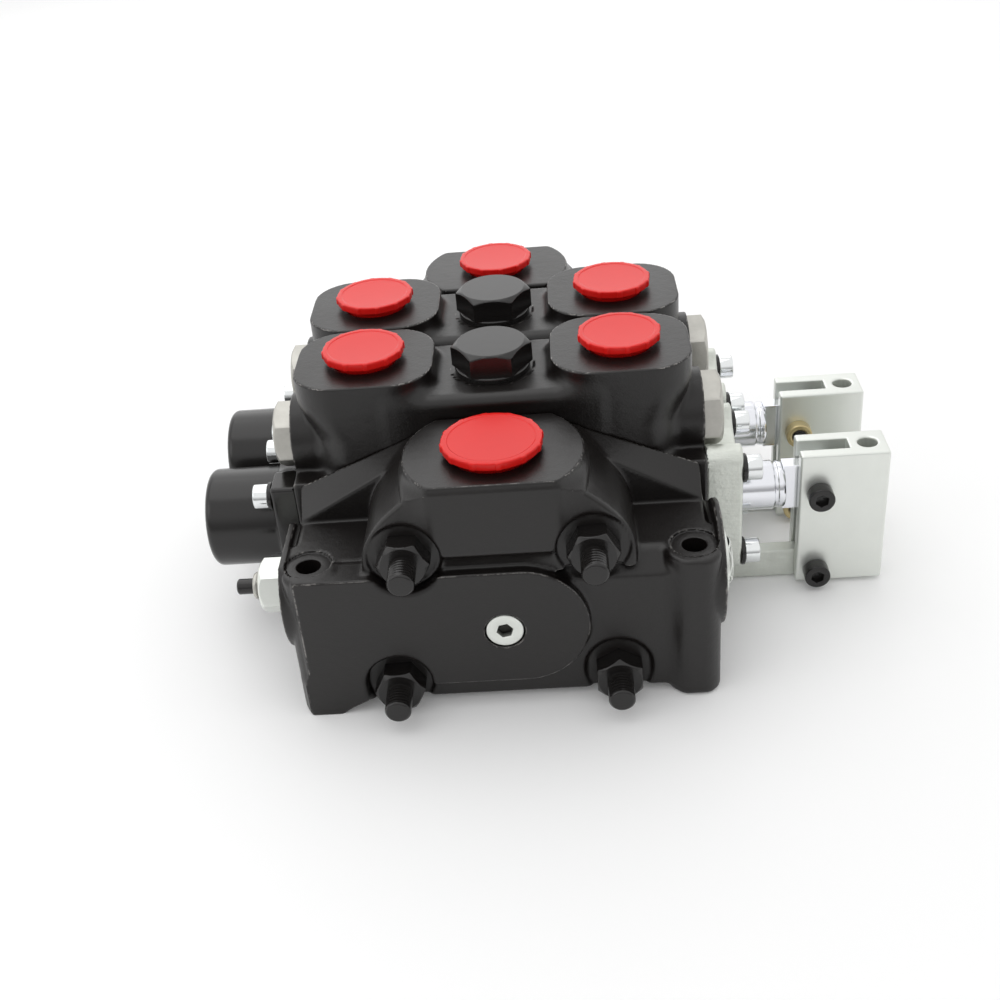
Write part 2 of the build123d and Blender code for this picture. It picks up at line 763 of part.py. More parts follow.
# Spools
seat_x = [spool_left_x - seat_thickness, spool_left_x - 2 * seat_thickness - spring_length]
bolt_head_x = seat_x[1]
for n, y in enumerate(section_y, 1):
    with BuildPart() as spool:
        bore_x(y, spool_z, spool_left_x, spool_neck_x, spool_diameter, mode=Mode.ADD)
        bore_x(y, spool_z, spool_neck_x, collar_end_x, collar_diameter, mode=Mode.ADD)
        # Grooves between the control lands
        outer_groove_x = tank_gallery_x - outer_groove_offset
        for x in (-outer_groove_x, -inner_groove_x, inner_groove_x, outer_groove_x):
            x_low, x_high = x - land_groove_width / 2, x + land_groove_width / 2
            with BuildSketch(at_x(x_low)):
                with Locations((y, spool_z)):
                    Circle(spool_diameter / 2 + 1)
                    Circle(land_groove_diameter / 2, mode=Mode.SUBTRACT)
            extrude(amount=land_groove_width, mode=Mode.SUBTRACT)
        # Flat tongue for the lever block, with an upright slot for its screw
        with BuildSketch(at_y(y + tongue_thickness / 2)):
            tongue_start_x = collar_end_x - tongue_root
            tongue_end_x = pivot_x + tongue_reach
            with Locations(((tongue_start_x + tongue_end_x) / 2, spool_z)):
                Rectangle(tongue_end_x - tongue_start_x, tongue_height)
            fillet(vertices().group_by(Axis.X)[-1], tongue_round)
            with Locations((pivot_x, spool_z)):
                SlotCenterToCenter(eye_length, pivot_diameter + 2 * eye_clearance, rotation=90, mode=Mode.SUBTRACT)
        extrude(amount=tongue_thickness)
        chamfer(spool.edges().filter_by(GeomType.CIRCLE).group_by(Axis.X)[0], spool_chamfer)
        bore_x(y, spool_z, spool_left_x, spool_left_x + end_bolt_depth, end_bolt_diameter)
    save(spool.part, f"spool_{n}")

    with BuildPart() as end_bolt:
        x_tip = spool_left_x + end_bolt_depth - end_bolt_gap
        shank = end_bolt_diameter - 2 * fit_clearance
        bore_x(y, spool_z, bolt_head_x, x_tip, shank, mode=Mode.ADD)
        bore_x(y, spool_z, bolt_head_x - end_bolt_head_height, bolt_head_x, end_bolt_head, mode=Mode.ADD)
    save(end_bolt.part, f"spool_end_bolt_{n}")

    with BuildPart() as spring_seats:
        for x in seat_x:
            bore_x(y, spool_z, x, x + seat_thickness, seat_diameter, mode=Mode.ADD)
            bore_x(y, spool_z, x, x + seat_thickness, end_bolt_diameter)
    save(spring_seats.part, f"spring_seats_{n}")

    with BuildPart() as centring_spring:
        x_low = seat_x[1] + seat_thickness
        bore_x(y, spool_z, x_low, x_low + spring_length, spring_diameter, mode=Mode.ADD)
        bore_x(y, spool_z, x_low, x_low + spring_length, spring_diameter - 2 * spring_wire)
    save(centring_spring.part, f"centring_spring_{n}")

# Lever blocks with their screws and nuts
lever_places = [(pivot_x, pivot_z), (pivot_x, spool_z)]
for n, y in enumerate(section_y, 1):
    head = -1 if n == 1 else 1
    half = block_thickness / 2
    with BuildPart() as lever_block:
        block(block_left_x, block_right_x, y - half, y + half, block_bottom_z, block_top_z)
        chamfer(lever_block.edges(), block_chamfer)
        block(
            block_left_x,
            block_slot_end_x,
            y - block_slot_width / 2,
            y + block_slot_width / 2,
            block_bottom_z,
            block_top_z,
            mode=Mode.SUBTRACT,
        )
        bore_z(lever_thread_x, y, block_top_z - lever_thread_depth, block_top_z, lever_thread_diameter)
        for x, z in lever_places:
            bore_y(x, z, y - half, y + half, pivot_diameter)
    save(lever_block.part, f"lever_block_{n}")

    with BuildPart() as lever_screws:
        for x, z in lever_places:
            y_face = y + head * half
            y_head = y_face + head * lever_screw_head_height
            y_tip = y - head * (half + lever_nut_height)
            shank = pivot_diameter - 2 * running_clearance
            bore_y(x, z, min(y_face, y_tip), max(y_face, y_tip), shank, mode=Mode.ADD)
            bore_y(x, z, min(y_face, y_head), max(y_face, y_head), lever_screw_head, mode=Mode.ADD)
            y_socket = y_head - head * screw_socket_depth
            with BuildSketch(at_y(max(y_head, y_socket))):
                with Locations((x, z)):
                    RegularPolygon(across_corners(screw_socket_width), 6)
            extrude(amount=screw_socket_depth, mode=Mode.SUBTRACT)
    save(lever_screws.part, f"lever_screws_{n}")

    with BuildPart() as lever_nuts:
        for x, z in lever_places:
            y_low = y + half if head < 0 else y - half - lever_nut_height
            bore_y(x, z, y_low, y_low + lever_nut_height, lever_nut_diameter, mode=Mode.ADD)
            bore_y(x, z, y_low, y_low + lever_nut_height, pivot_diameter)
    save(lever_nuts.part, f"lever_nuts_{n}")

# Relief valve on the left end of the inlet cover
relief_face_x = -cover_half_width - side_disc_height
relief_head_x = relief_face_x - relief_hex_height
relief_seat_x = relief_face_x + relief_body_length
with BuildPart() as relief_cartridge:
    with BuildSketch(at_x(relief_head_x)):
        with Locations((inlet_mid_y, side_disc_z)):
            RegularPolygon(across_corners(relief_hex_width), 6, rotation=relief_turn)
    extrude(amount=relief_hex_height)
    bore_x(inlet_mid_y, side_disc_z, relief_face_x, relief_seat_x, relief_body_diameter, mode=Mode.ADD)
    bore_x(inlet_mid_y, side_disc_z, relief_head_x, relief_face_x, relief_screw_diameter)
    bore_x(inlet_mid_y, side_disc_z, relief_face_x, relief_seat_x - relief_seat_wall, relief_bore_diameter)
    bore_x(inlet_mid_y, side_disc_z, relief_seat_x - relief_seat_wall, relief_seat_x, relief_bore_diameter / 2)
save(relief_cartridge.part, "relief_cartridge")

with BuildPart() as relief_locknut:
    with BuildSketch(at_x(relief_head_x - relief_nut_height)):
        with Locations((inlet_mid_y, side_disc_z)):
            RegularPolygon(across_corners(relief_nut_width), 6, rotation=relief_turn)
            Circle(relief_screw_diameter / 2, mode=Mode.SUBTRACT)
    extrude(amount=relief_nut_height)
save(relief_locknut.part, "relief_locknut")

relief_screw_tip_x = relief_head_x - relief_screw_overhang + relief_screw_length
with BuildPart() as relief_adjuster:
    bore_x(
        inlet_mid_y,
        side_disc_z,
        relief_screw_tip_x - relief_screw_length,
        relief_screw_tip_x,
        relief_screw_diameter - 2 * fit_clearance,
        mode=Mode.ADD,
    )
save(relief_adjuster.part, "relief_adjuster")

relief_poppet_x = relief_seat_x - relief_seat_wall
with BuildPart() as relief_poppet:
    bore_x(
        inlet_mid_y,
        side_disc_z,
        relief_poppet_x - relief_poppet_length,
        relief_poppet_x,
        relief_bore_diameter - 2 * fit_clearance,
        mode=Mode.ADD,
    )
save(relief_poppet.part, "relief_poppet")

with BuildPart() as relief_spring:
    x_low = relief_screw_tip_x + relief_poppet_lift + relief_spring_gap
    x_high = relief_poppet_x - relief_poppet_length
    bore_x(inlet_mid_y, side_disc_z, x_low, x_high, relief_spring_diameter, mode=Mode.ADD)
    bore_x(inlet_mid_y, side_disc_z, x_low, x_high, relief_spring_diameter - 2 * relief_spring_wall)
save(relief_spring.part, "relief_spring")


def cover_plug(y, side, depth):
    """A hexagon plug in a cover's machined end."""
    x_face = side * (cover_half_width + side_disc_height)
    x_head = x_face + side * cover_plug_head
    x_inner = x_face - side * depth
    with BuildPart() as plug:
        with BuildSketch(at_x(min(x_face, x_head))):
            with Locations((y, side_disc_z)):
                RegularPolygon(across_corners(cover_plug_width), 6)
        extrude(amount=cover_plug_head)
        bore_x(y, side_disc_z, min(x_face, x_inner), max(x_face, x_inner), cover_plug_thread, mode=Mode.ADD)
    return plug.part


save(cover_plug(inlet_mid_y, 1, cover_plug_depth), "inlet_plug")
save(cover_plug(outlet_mid_y, -1, outlet_plug_depth), "outlet_plug_left")
save(cover_plug(outlet_mid_y, 1, outlet_plug_depth), "outlet_plug_right")

with BuildPart() as gauge_plug:
    y_face = front_y + gauge_plug_recess
    bore_y(0, gauge_plug_z, y_face, y_face + gauge_plug_depth, gauge_plug_diameter, mode=Mode.ADD)
    with BuildSketch(at_y(y_face + gauge_socket_depth)):
        with Locations((0, gauge_plug_z)):
            RegularPolygon(across_corners(gauge_socket_width), 6)
    extrude(amount=gauge_socket_depth, mode=Mode.SUBTRACT)
save(gauge_plug.part, "gauge_plug")
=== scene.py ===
# %% [markdown]
# # A sectional control valve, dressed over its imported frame
#
# The valve is a stack of iron castings, painted satin black, with red transport
# caps in its ports, black spring caps at one end of its spools and zinc plated
# lever blocks at the other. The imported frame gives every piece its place. This
# file gives the pieces their surfaces, their finish, the light and the camera.

# %% Load the frame
import json
from math import pi

import bpy
import numpy as np
from mathutils import Matrix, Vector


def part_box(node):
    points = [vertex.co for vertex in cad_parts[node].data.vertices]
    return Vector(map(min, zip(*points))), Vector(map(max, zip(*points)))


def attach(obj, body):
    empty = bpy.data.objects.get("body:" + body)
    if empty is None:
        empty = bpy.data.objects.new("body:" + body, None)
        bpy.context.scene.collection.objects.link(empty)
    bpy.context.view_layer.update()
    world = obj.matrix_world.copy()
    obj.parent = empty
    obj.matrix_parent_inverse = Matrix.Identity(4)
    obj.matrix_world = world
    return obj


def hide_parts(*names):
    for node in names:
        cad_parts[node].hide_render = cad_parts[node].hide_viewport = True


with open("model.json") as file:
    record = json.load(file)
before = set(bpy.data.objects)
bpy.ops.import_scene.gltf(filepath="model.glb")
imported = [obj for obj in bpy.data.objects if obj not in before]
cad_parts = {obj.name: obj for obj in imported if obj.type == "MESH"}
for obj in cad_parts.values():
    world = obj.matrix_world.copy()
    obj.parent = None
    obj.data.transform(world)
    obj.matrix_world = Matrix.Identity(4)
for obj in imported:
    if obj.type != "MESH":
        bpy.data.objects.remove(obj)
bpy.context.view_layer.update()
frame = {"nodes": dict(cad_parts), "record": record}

# %% [markdown]
# ## Sizes taken from the frame
#
# All lengths below are millimetres, and each mesh is brought to metres when it is
# made. A place that the frame already holds is read from a node's box, so the
# dressing can't drift away from the solids that it covers.

# %% Read places from the nodes
MM = 0.001


def node_box(node):
    """Lowest and highest corner of a node in millimetres."""
    low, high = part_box(node)
    return np.array(low) / MM, np.array(high) / MM


def node_centre(node):
    """Middle of a node's box in millimetres."""
    low, high = node_box(node)
    return (low + high) / 2


section_numbers = (1, 2)
section_y = {n: node_centre(f"valve_section_{n}")[1] for n in section_numbers}
front_y = node_box("inlet_cover")[0][1]
inlet_back_y = node_box("valve_section_1")[0][1]
outlet_front_y = node_box("valve_section_2")[1][1]
rear_y = node_box("outlet_cover")[1][1]
end_x = node_box("valve_section_1")[1][0]
port_z = node_box("valve_section_1")[1][2]
spool_z = node_centre("spool_1")[2]
inlet_port_z = node_box("inlet_cover")[1][2]
outlet_port_z = node_box("outlet_cover")[1][2]
disc_x = node_box("inlet_cover")[1][0]
port_x = node_centre("port_cap_b1")[0]
saddle_z = node_box("check_plug_1")[0][2] + 16.0
side_plug_z = node_centre("side_plugs_right")[2]
print("section middles", section_y, "port plane", port_z)

# %% [markdown]
# ## Castings as distance fields
#
# A sand casting has no sharp inner corner: wherever a tower meets a base, the iron
# flows round. Modelling each fillet by hand is slow, so a casting here is a
# *distance field*: a function that is negative inside the iron, zero on its skin
# and positive outside. A smooth minimum of two fields is a union with a fillet, and
# a smooth maximum rounds an outer edge.

# %% Fields of simple shapes
def box_field(p, low, high, radius=0.0):
    """Distance to a box: the length of the outward excess over its half sizes."""
    excess = [np.abs(p[i] - (low[i] + high[i]) / 2) - (high[i] - low[i]) / 2 + radius for i in range(3)]
    outside = np.sqrt(sum(np.maximum(e, 0) ** 2 for e in excess))
    inside = np.minimum(np.maximum(np.maximum(excess[0], excess[1]), excess[2]), 0)
    return outside + inside - radius


def bar_field(outline, along, low, high, rounding=0.0):
    """Distance to a bar of any outline: the outline's distance and the end's, joined like a box."""
    side = outline + rounding
    ends = np.maximum(low - along, along - high) + rounding
    outside = np.sqrt(np.maximum(side, 0) ** 2 + np.maximum(ends, 0) ** 2)
    return outside + np.minimum(np.maximum(side, ends), 0) - rounding


def rod_field(p, axis, centre, radius, low, high, rounding=0.0):
    """Distance to a round bar along an axis."""
    a, b = [p[i] for i in range(3) if i != axis]
    outline = np.sqrt((a - centre[0]) ** 2 + (b - centre[1]) ** 2) - radius
    return bar_field(outline, p[axis], low, high, rounding)


def rounded_outline(a, b, half_a, half_b, corner):
    """Distance to a flat rectangle with round corners."""
    over_a, over_b = np.abs(a) - half_a + corner, np.abs(b) - half_b + corner
    outside = np.sqrt(np.maximum(over_a, 0) ** 2 + np.maximum(over_b, 0) ** 2)
    return outside + np.minimum(np.maximum(over_a, over_b), 0) - corner


def join(a, b, fillet=0.001):
    """Union with a fillet: a smooth minimum, lower than both by a quarter of the overlap squared."""
    overlap = np.maximum(fillet - np.abs(a - b), 0) / fillet
    return np.minimum(a, b) - overlap**2 * fillet / 4


def meet(a, b, rounding=0.001):
    """Overlap of two shapes with a rounded edge, which is the union of what lies outside both."""
    return -join(-a, -b, rounding)


def cut(a, b, rounding=0.001):
    """A shape with another one taken away."""
    return meet(a, -b, rounding)


# %% [markdown]
# ## From a field to a mesh
#
# A *surface net* puts one vertex in each grid cell that the skin crosses, at the
# mean of the crossings on the cell's edges, and one quad across each crossed grid
# edge. Then every vertex is moved along the field's slope until the field is zero
# there, which makes flat faces flat. The same field gives the skin's curvature,
# kept as an attribute called edge: it is high on outer edges, where paint rubs thin
# and a painted highlight is put.

# %% Surface net
def net_arrays(field, low, high, cell):
    """Vertices and quads of the zero level of a field between two corners."""
    axes = [np.arange(low[i] - 1.5 * cell, high[i] + 2.5 * cell, cell) for i in range(3)]
    grid = field(np.meshgrid(*axes, indexing="ij", sparse=True))
    shape = [len(a) - 1 for a in axes]
    total = np.zeros((*shape, 3), np.float32)
    count = np.zeros(shape, np.int8)
    crossings = []
    for axis in range(3):
        first = np.take(grid, range(grid.shape[axis] - 1), axis)
        second = np.take(grid, range(1, grid.shape[axis]), axis)
        crossed = (first < 0) != (second < 0)
        part = np.where(crossed, first / np.where(crossed, first - second, 1), 0)
        crossings.append((crossed, first < 0))
        b, c = [i for i in range(3) if i != axis]
        for shift_b in (0, 1):
            for shift_c in (0, 1):
                window = [slice(None)] * 3
                window[b] = slice(shift_b, shift_b + shape[b])
                window[c] = slice(shift_c, shift_c + shape[c])
                here = crossed[tuple(window)]
                count += here
                total[..., axis] += part[tuple(window)]
                total[..., b] += here * shift_b
                total[..., c] += here * shift_c
    active = count > 0
    number = np.full(shape, -1, np.int64)
    number[active] = np.arange(active.sum())
    cells = np.argwhere(active)
    origin = np.array([a[0] for a in axes])
    vertices = origin + (cells + total[active] / count[active][:, None]) * cell
    quads = []
    for axis in range(3):
        crossed, inside_first = crossings[axis]
        b, c = [i for i in range(3) if i != axis]
        window = [slice(None)] * 3
        window[b] = slice(1, shape[b])
        window[c] = slice(1, shape[c])
        at = np.argwhere(crossed[tuple(window)])
        outward = inside_first[tuple(window)][crossed[tuple(window)]]
        steps = np.array([(0, 0), (1, 0), (1, 1), (0, 1)])
        corners = []
        for step_b, step_c in steps:
            place = at.copy()
            place[:, b] += step_b
            place[:, c] += step_c
            corners.append(number[place[:, 0], place[:, 1], place[:, 2]])
        quad = np.stack(corners, 1)
        flip = outward if axis == 1 else ~outward
        quad[flip] = quad[flip][:, ::-1]
        quads.append(quad)
    return vertices, np.concatenate(quads)


def slope(field, v, step):
    """Gradient of a field at points, by central differences, and its second differences added up."""
    here = field([v[:, 0], v[:, 1], v[:, 2]])
    gradient = np.empty_like(v)
    bend = np.zeros(len(v))
    for axis in range(3):
        ahead, behind = v.copy(), v.copy()
        ahead[:, axis] += step
        behind[:, axis] -= step
        f_ahead = field([ahead[:, 0], ahead[:, 1], ahead[:, 2]])
        f_behind = field([behind[:, 0], behind[:, 1], behind[:, 2]])
        gradient[:, axis] = (f_ahead - f_behind) / (2 * step)
        bend += (f_ahead + f_behind - 2 * here) / step**2
    return here, gradient, bend


def mesh_object(name, vertices, faces, sharp_angle=None):
    """An object from millimetre vertices and a face array or list."""
    if isinstance(faces, np.ndarray):
        faces = faces.tolist()
    mesh = bpy.data.meshes.new(name)
    mesh.from_pydata((np.asarray(vertices) * MM).tolist(), [], faces)
    mesh.polygons.foreach_set("use_smooth", np.ones(len(mesh.polygons), bool))
    if sharp_angle is not None:
        mesh.set_sharp_from_angle(angle=np.radians(sharp_angle))
    piece = bpy.data.objects.new(name, mesh)
    bpy.context.scene.collection.objects.link(piece)
    return piece


def field_arrays(field, low, high, cell):
    """Net of a field, moved onto its zero level."""
    vertices, quads = net_arrays(field, low, high, cell)
    for _ in range(4):
        here, gradient, _bend = slope(field, vertices, 0.05)
        length = np.maximum((gradient**2).sum(1), 0.2)
        move = np.clip(here / length, -0.4 * cell, 0.4 * cell)
        vertices = vertices - move[:, None] * gradient
    return vertices, quads


def cast(name, field, low, high, cell, turned=()):
    """A piece from a distance field, with the field's own normals, an edge attribute and turned parts."""
    vertices, quads = field_arrays(field, low, high, cell)
    _here, gradient, _bend = slope(field, vertices, 0.06)
    normals = gradient / np.maximum(np.linalg.norm(gradient, axis=1), 1e-6)[:, None]
    _here, _gradient, bend = slope(field, vertices, 0.5)
    faces = quads.tolist()
    for part_vertices, part_faces in turned:
        faces += [[i + len(vertices) for i in face] for face in part_faces]
        vertices = np.concatenate([vertices, part_vertices])
    extra = len(vertices) - len(normals)
    piece = mesh_object(name, vertices, faces)
    piece.data.normals_split_custom_set_from_vertices(normals.tolist() + [(0, 0, 0)] * extra)
    edge = piece.data.attributes.new("edge", "FLOAT", "POINT")
    # Outer edges are marked for rubbed paint and a painted highlight.
    wear_and_highlight = np.pad(np.clip((bend - 0.35) / 1.1, 0, 1), (0, extra))
    edge.data.foreach_set("value", wear_and_highlight.astype(np.float32))
    print(name, len(vertices), "vertices")
    return piece


# %% [markdown]
# ## Turned pieces
#
# Screws, nuts, plugs and caps come off a lathe. Each is a grid of two parameters:
# the angle round the axis, and the row along a profile. A hexagon is the same grid
# with a radius that depends on the angle: half the width across flats divided by
# the cosine of the angle to the nearest flat's middle, and no more than the row's
# own limit. That limit, falling towards the end, gives the curved chamfer of a nut.
# A profile stops at TIP, a hair off the axis, so that its last row is still a ring.

# %% Turned surfaces
TIP = 0.02


def hexagon(width, angle, turn=0.0):
    """Radius of a hexagon of that width across flats at each angle, with a corner at turn."""
    return width / 2 / np.cos((angle - turn) % (pi / 3) - pi / 6)


def round_corners(points, radius, steps=4):
    """A profile whose inner points are replaced by short parabolas of that reach."""
    points = np.asarray(points, float)
    rows = [points[0]]
    t = np.linspace(0, 1, steps + 1)[:, None]
    for before, corner, after in zip(points[:-2], points[1:-1], points[2:]):
        back, ahead = before - corner, after - corner
        reach = min(radius, 0.45 * np.linalg.norm(back), 0.45 * np.linalg.norm(ahead))
        start = corner + back / np.linalg.norm(back) * reach
        end = corner + ahead / np.linalg.norm(ahead) * reach
        rows.extend((1 - t) ** 2 * start + 2 * t * (1 - t) * corner + t**2 * end)
    rows.append(points[-1])
    return np.array(rows)


def turned_arrays(rows, axis, centre, direction=1, sides=96, shape=None, ring=False):
    """Grid of (row, angle): each row is (along, radius), shape(angle, rows) may bend the radius."""
    rows = np.asarray(rows, float)
    angle = np.linspace(0, 2 * pi, sides, endpoint=False)
    along = np.repeat(rows[:, :1], sides, 1)
    radius = np.repeat(rows[:, 1:2], sides, 1)
    if shape is not None:
        radius = shape(angle[None, :], along, radius)
    across = [i for i in range(3) if i != axis]
    grid = np.empty((len(rows), sides, 3))
    grid[..., axis] = centre[axis] + direction * along
    grid[..., across[0]] = centre[across[0]] + radius * np.cos(angle)
    grid[..., across[1]] = centre[across[1]] + radius * np.sin(angle)
    number = np.arange(len(rows) * sides).reshape(len(rows), sides)
    last = len(rows) if ring else len(rows) - 1
    lower = number[np.arange(last)]
    upper = number[(np.arange(last) + 1) % len(rows)]
    quads = np.stack([lower, np.roll(lower, -1, 1), np.roll(upper, -1, 1), upper], -1).reshape(-1, 4)
    faces = quads.tolist()
    if not ring:
        faces += [number[0][::-1].tolist(), number[-1].tolist()]
    flip = (direction < 0) != (axis == 1)
    if flip:
        faces = [face[::-1] for face in faces]
    return grid.reshape(-1, 3), faces


def gather(name, parts, sharp_angle=38):
    """One object from several parts: vertices, faces and, where there is one, a mask of painted shade."""
    vertices, faces, painted_shades, start = [], [], [], 0
    for part_vertices, part_faces, *painted_shade in parts:
        vertices.append(part_vertices)
        faces += [[i + start for i in face] for face in part_faces]
        painted_shades.append(painted_shade[0] if painted_shade else np.zeros(len(part_vertices)))
        start += len(part_vertices)
    piece = mesh_object(name, np.concatenate(vertices), faces, sharp_angle)
    mask = piece.data.attributes.new("painted_shade", "FLOAT", "POINT")
    mask.data.foreach_set("value", np.concatenate(painted_shades).astype(np.float32))
    return piece


def hex_shape(width, limit_low, limit_high, low, high, depth=1.6, turn=0.0):
    """A radius rule: the hexagon between low and high, cut by the cones of its two chamfers."""
    corner = width / np.sqrt(3)
    face_radius = width * 0.475
    uncut = 9.0

    def rule(angle, along, radius):
        from_low = (along - low) / depth if limit_low else uncut
        from_high = (high - along) / depth if limit_high else uncut
        climb = np.clip(np.minimum(from_low, from_high), 0, 1)
        cone = face_radius + (corner - face_radius) * climb + 0.01
        return np.minimum(radius, np.minimum(hexagon(width, angle, turn), cone))

    return rule


# %% [markdown]
# ## Finishes
#
# Four effects are shared by the materials, so each is a node group built once:
# grain, a fine bump of sand and paint; a mask of outer edges that turn lighter, partly
# rubbed paint and partly a painted highlight; a mask of socket faces that turn near
# black as painted shade; and blotch, slow patches that make a finish
# uneven. A group only puts out masks and heights. The shader stays in each material.

# %% Node groups
def new_group(name, inputs, outputs):
    """An empty shader group with named number sockets."""
    group = bpy.data.node_groups.new(name, "ShaderNodeTree")
    for label, value in inputs.items():
        socket = group.interface.new_socket(label, in_out="INPUT", socket_type="NodeSocketFloat")
        socket.default_value = value
    for label in outputs:
        group.interface.new_socket(label, in_out="OUTPUT", socket_type="NodeSocketFloat")
    return group, group.nodes.new("NodeGroupInput"), group.nodes.new("NodeGroupOutput")


def maths(tree, operation, first, second, clamp=False):
    """A math node; its inputs are sockets or numbers."""
    node = tree.nodes.new("ShaderNodeMath")
    node.operation = operation
    node.use_clamp = clamp
    for socket, value in zip(node.inputs, (first, second)):
        if isinstance(value, bpy.types.NodeSocket):
            tree.links.new(value, socket)
        else:
            socket.default_value = value
    return node.outputs[0]


def noise(tree, scale, detail=4.0, roughness=0.55, stretch=None):
    """A noise texture on object coordinates, its scale and upright stretch fed by sockets."""
    place = tree.nodes.new("ShaderNodeTexCoord")
    texture = tree.nodes.new("ShaderNodeTexNoise")
    texture.inputs["Detail"].default_value = detail
    texture.inputs["Roughness"].default_value = roughness
    vector = place.outputs["Object"]
    if stretch is not None:
        split = tree.nodes.new("ShaderNodeSeparateXYZ")
        merge = tree.nodes.new("ShaderNodeCombineXYZ")
        tree.links.new(vector, split.inputs[0])
        tree.links.new(split.outputs["X"], merge.inputs["X"])
        tree.links.new(split.outputs["Y"], merge.inputs["Y"])
        tree.links.new(maths(tree, "MULTIPLY", split.outputs["Z"], stretch), merge.inputs["Z"])
        vector = merge.outputs[0]
    tree.links.new(vector, texture.inputs["Vector"])
    tree.links.new(scale, texture.inputs["Scale"])
    return texture


grain_group, grain_in, grain_out = new_group(
    "grain", {"Fine": 900.0, "Coarse": 120.0, "Stretch": 1.0}, ["Height"]
)
fine = noise(grain_group, grain_in.outputs["Fine"], 3.0)
coarse = noise(grain_group, grain_in.outputs["Coarse"], 2.0, stretch=grain_in.outputs["Stretch"])
mixed = maths(grain_group, "MULTIPLY", fine.outputs["Fac"], 0.6)
mixed = maths(grain_group, "ADD", mixed, coarse.outputs["Fac"])
grain_group.links.new(mixed, grain_out.inputs["Height"])

edge_wear_and_highlight_group, edge_wear_and_highlight_in, edge_wear_and_highlight_out = new_group("edge_wear_and_highlight", {"Amount": 1.0, "Scale": 260.0}, ["Mask"])
edge_value = edge_wear_and_highlight_group.nodes.new("ShaderNodeAttribute")
edge_value.attribute_name = "edge"
patches = noise(edge_wear_and_highlight_group, edge_wear_and_highlight_in.outputs["Scale"], 5.0, 0.7)
broken = maths(edge_wear_and_highlight_group, "SUBTRACT", patches.outputs["Fac"], 0.44)
broken = maths(edge_wear_and_highlight_group, "MULTIPLY", broken, 7.0, clamp=True)
thin = maths(edge_wear_and_highlight_group, "SUBTRACT", edge_value.outputs["Fac"], 0.5)
thin = maths(edge_wear_and_highlight_group, "MULTIPLY", thin, 2.5, clamp=True)
# Lighter outer edges: partly rubbed paint, partly a painted highlight.
wear_and_highlight = maths(edge_wear_and_highlight_group, "MULTIPLY", thin, broken)
wear_and_highlight = maths(edge_wear_and_highlight_group, "MULTIPLY", wear_and_highlight, edge_wear_and_highlight_in.outputs["Amount"], clamp=True)
edge_wear_and_highlight_group.links.new(wear_and_highlight, edge_wear_and_highlight_out.inputs["Mask"])

# Mask of socket faces, where a near black colour is painted shade.
painted_shade_group, painted_shade_in, painted_shade_out = new_group("painted_shade", {"Amount": 1.0}, ["Mask"])
painted_shade_value = painted_shade_group.nodes.new("ShaderNodeAttribute")
painted_shade_value.attribute_name = "painted_shade"
deep = maths(painted_shade_group, "MULTIPLY", painted_shade_value.outputs["Fac"], painted_shade_in.outputs["Amount"], clamp=True)
painted_shade_group.links.new(deep, painted_shade_out.inputs["Mask"])

blotch_group, blotch_in, blotch_out = new_group("blotch", {"Scale": 40.0, "Contrast": 1.0}, ["Mask"])
slow = noise(blotch_group, blotch_in.outputs["Scale"], 6.0, 0.6)
centred = maths(blotch_group, "SUBTRACT", slow.outputs["Fac"], 0.5)
centred = maths(blotch_group, "MULTIPLY", centred, blotch_in.outputs["Contrast"])
centred = maths(blotch_group, "ADD", centred, 0.5, clamp=True)
blotch_group.links.new(centred, blotch_out.inputs["Mask"])
print("groups", [g.name for g in bpy.data.node_groups])


# %% [markdown]
# ## One builder for every finish
#
# A finish mixes two colours in slow patches, which also make its gloss uneven. Grain
# gives the bump. One mask lightens the outer edges, as rubbed paint and a painted
# highlight, and the other darkens the sockets with painted shade.

# %% Finish builder
def place_group(tree, group, **values):
    """A copy of a shared group in a material, with its own values."""
    node = tree.nodes.new("ShaderNodeGroup")
    node.node_tree = group
    for label, value in values.items():
        node.inputs[label].default_value = value
    return node


def ramp(tree, mask, low_colour, high_colour):
    """A colour mixed between two by a mask."""
    node = tree.nodes.new("ShaderNodeMix")
    node.data_type = "RGBA"
    tree.links.new(mask, node.inputs["Factor"])
    for socket, colour in ((node.inputs[6], low_colour), (node.inputs[7], high_colour)):
        if isinstance(colour, bpy.types.NodeSocket):
            tree.links.new(colour, socket)
        else:
            socket.default_value = (*colour, 1)
    return node.outputs[2]


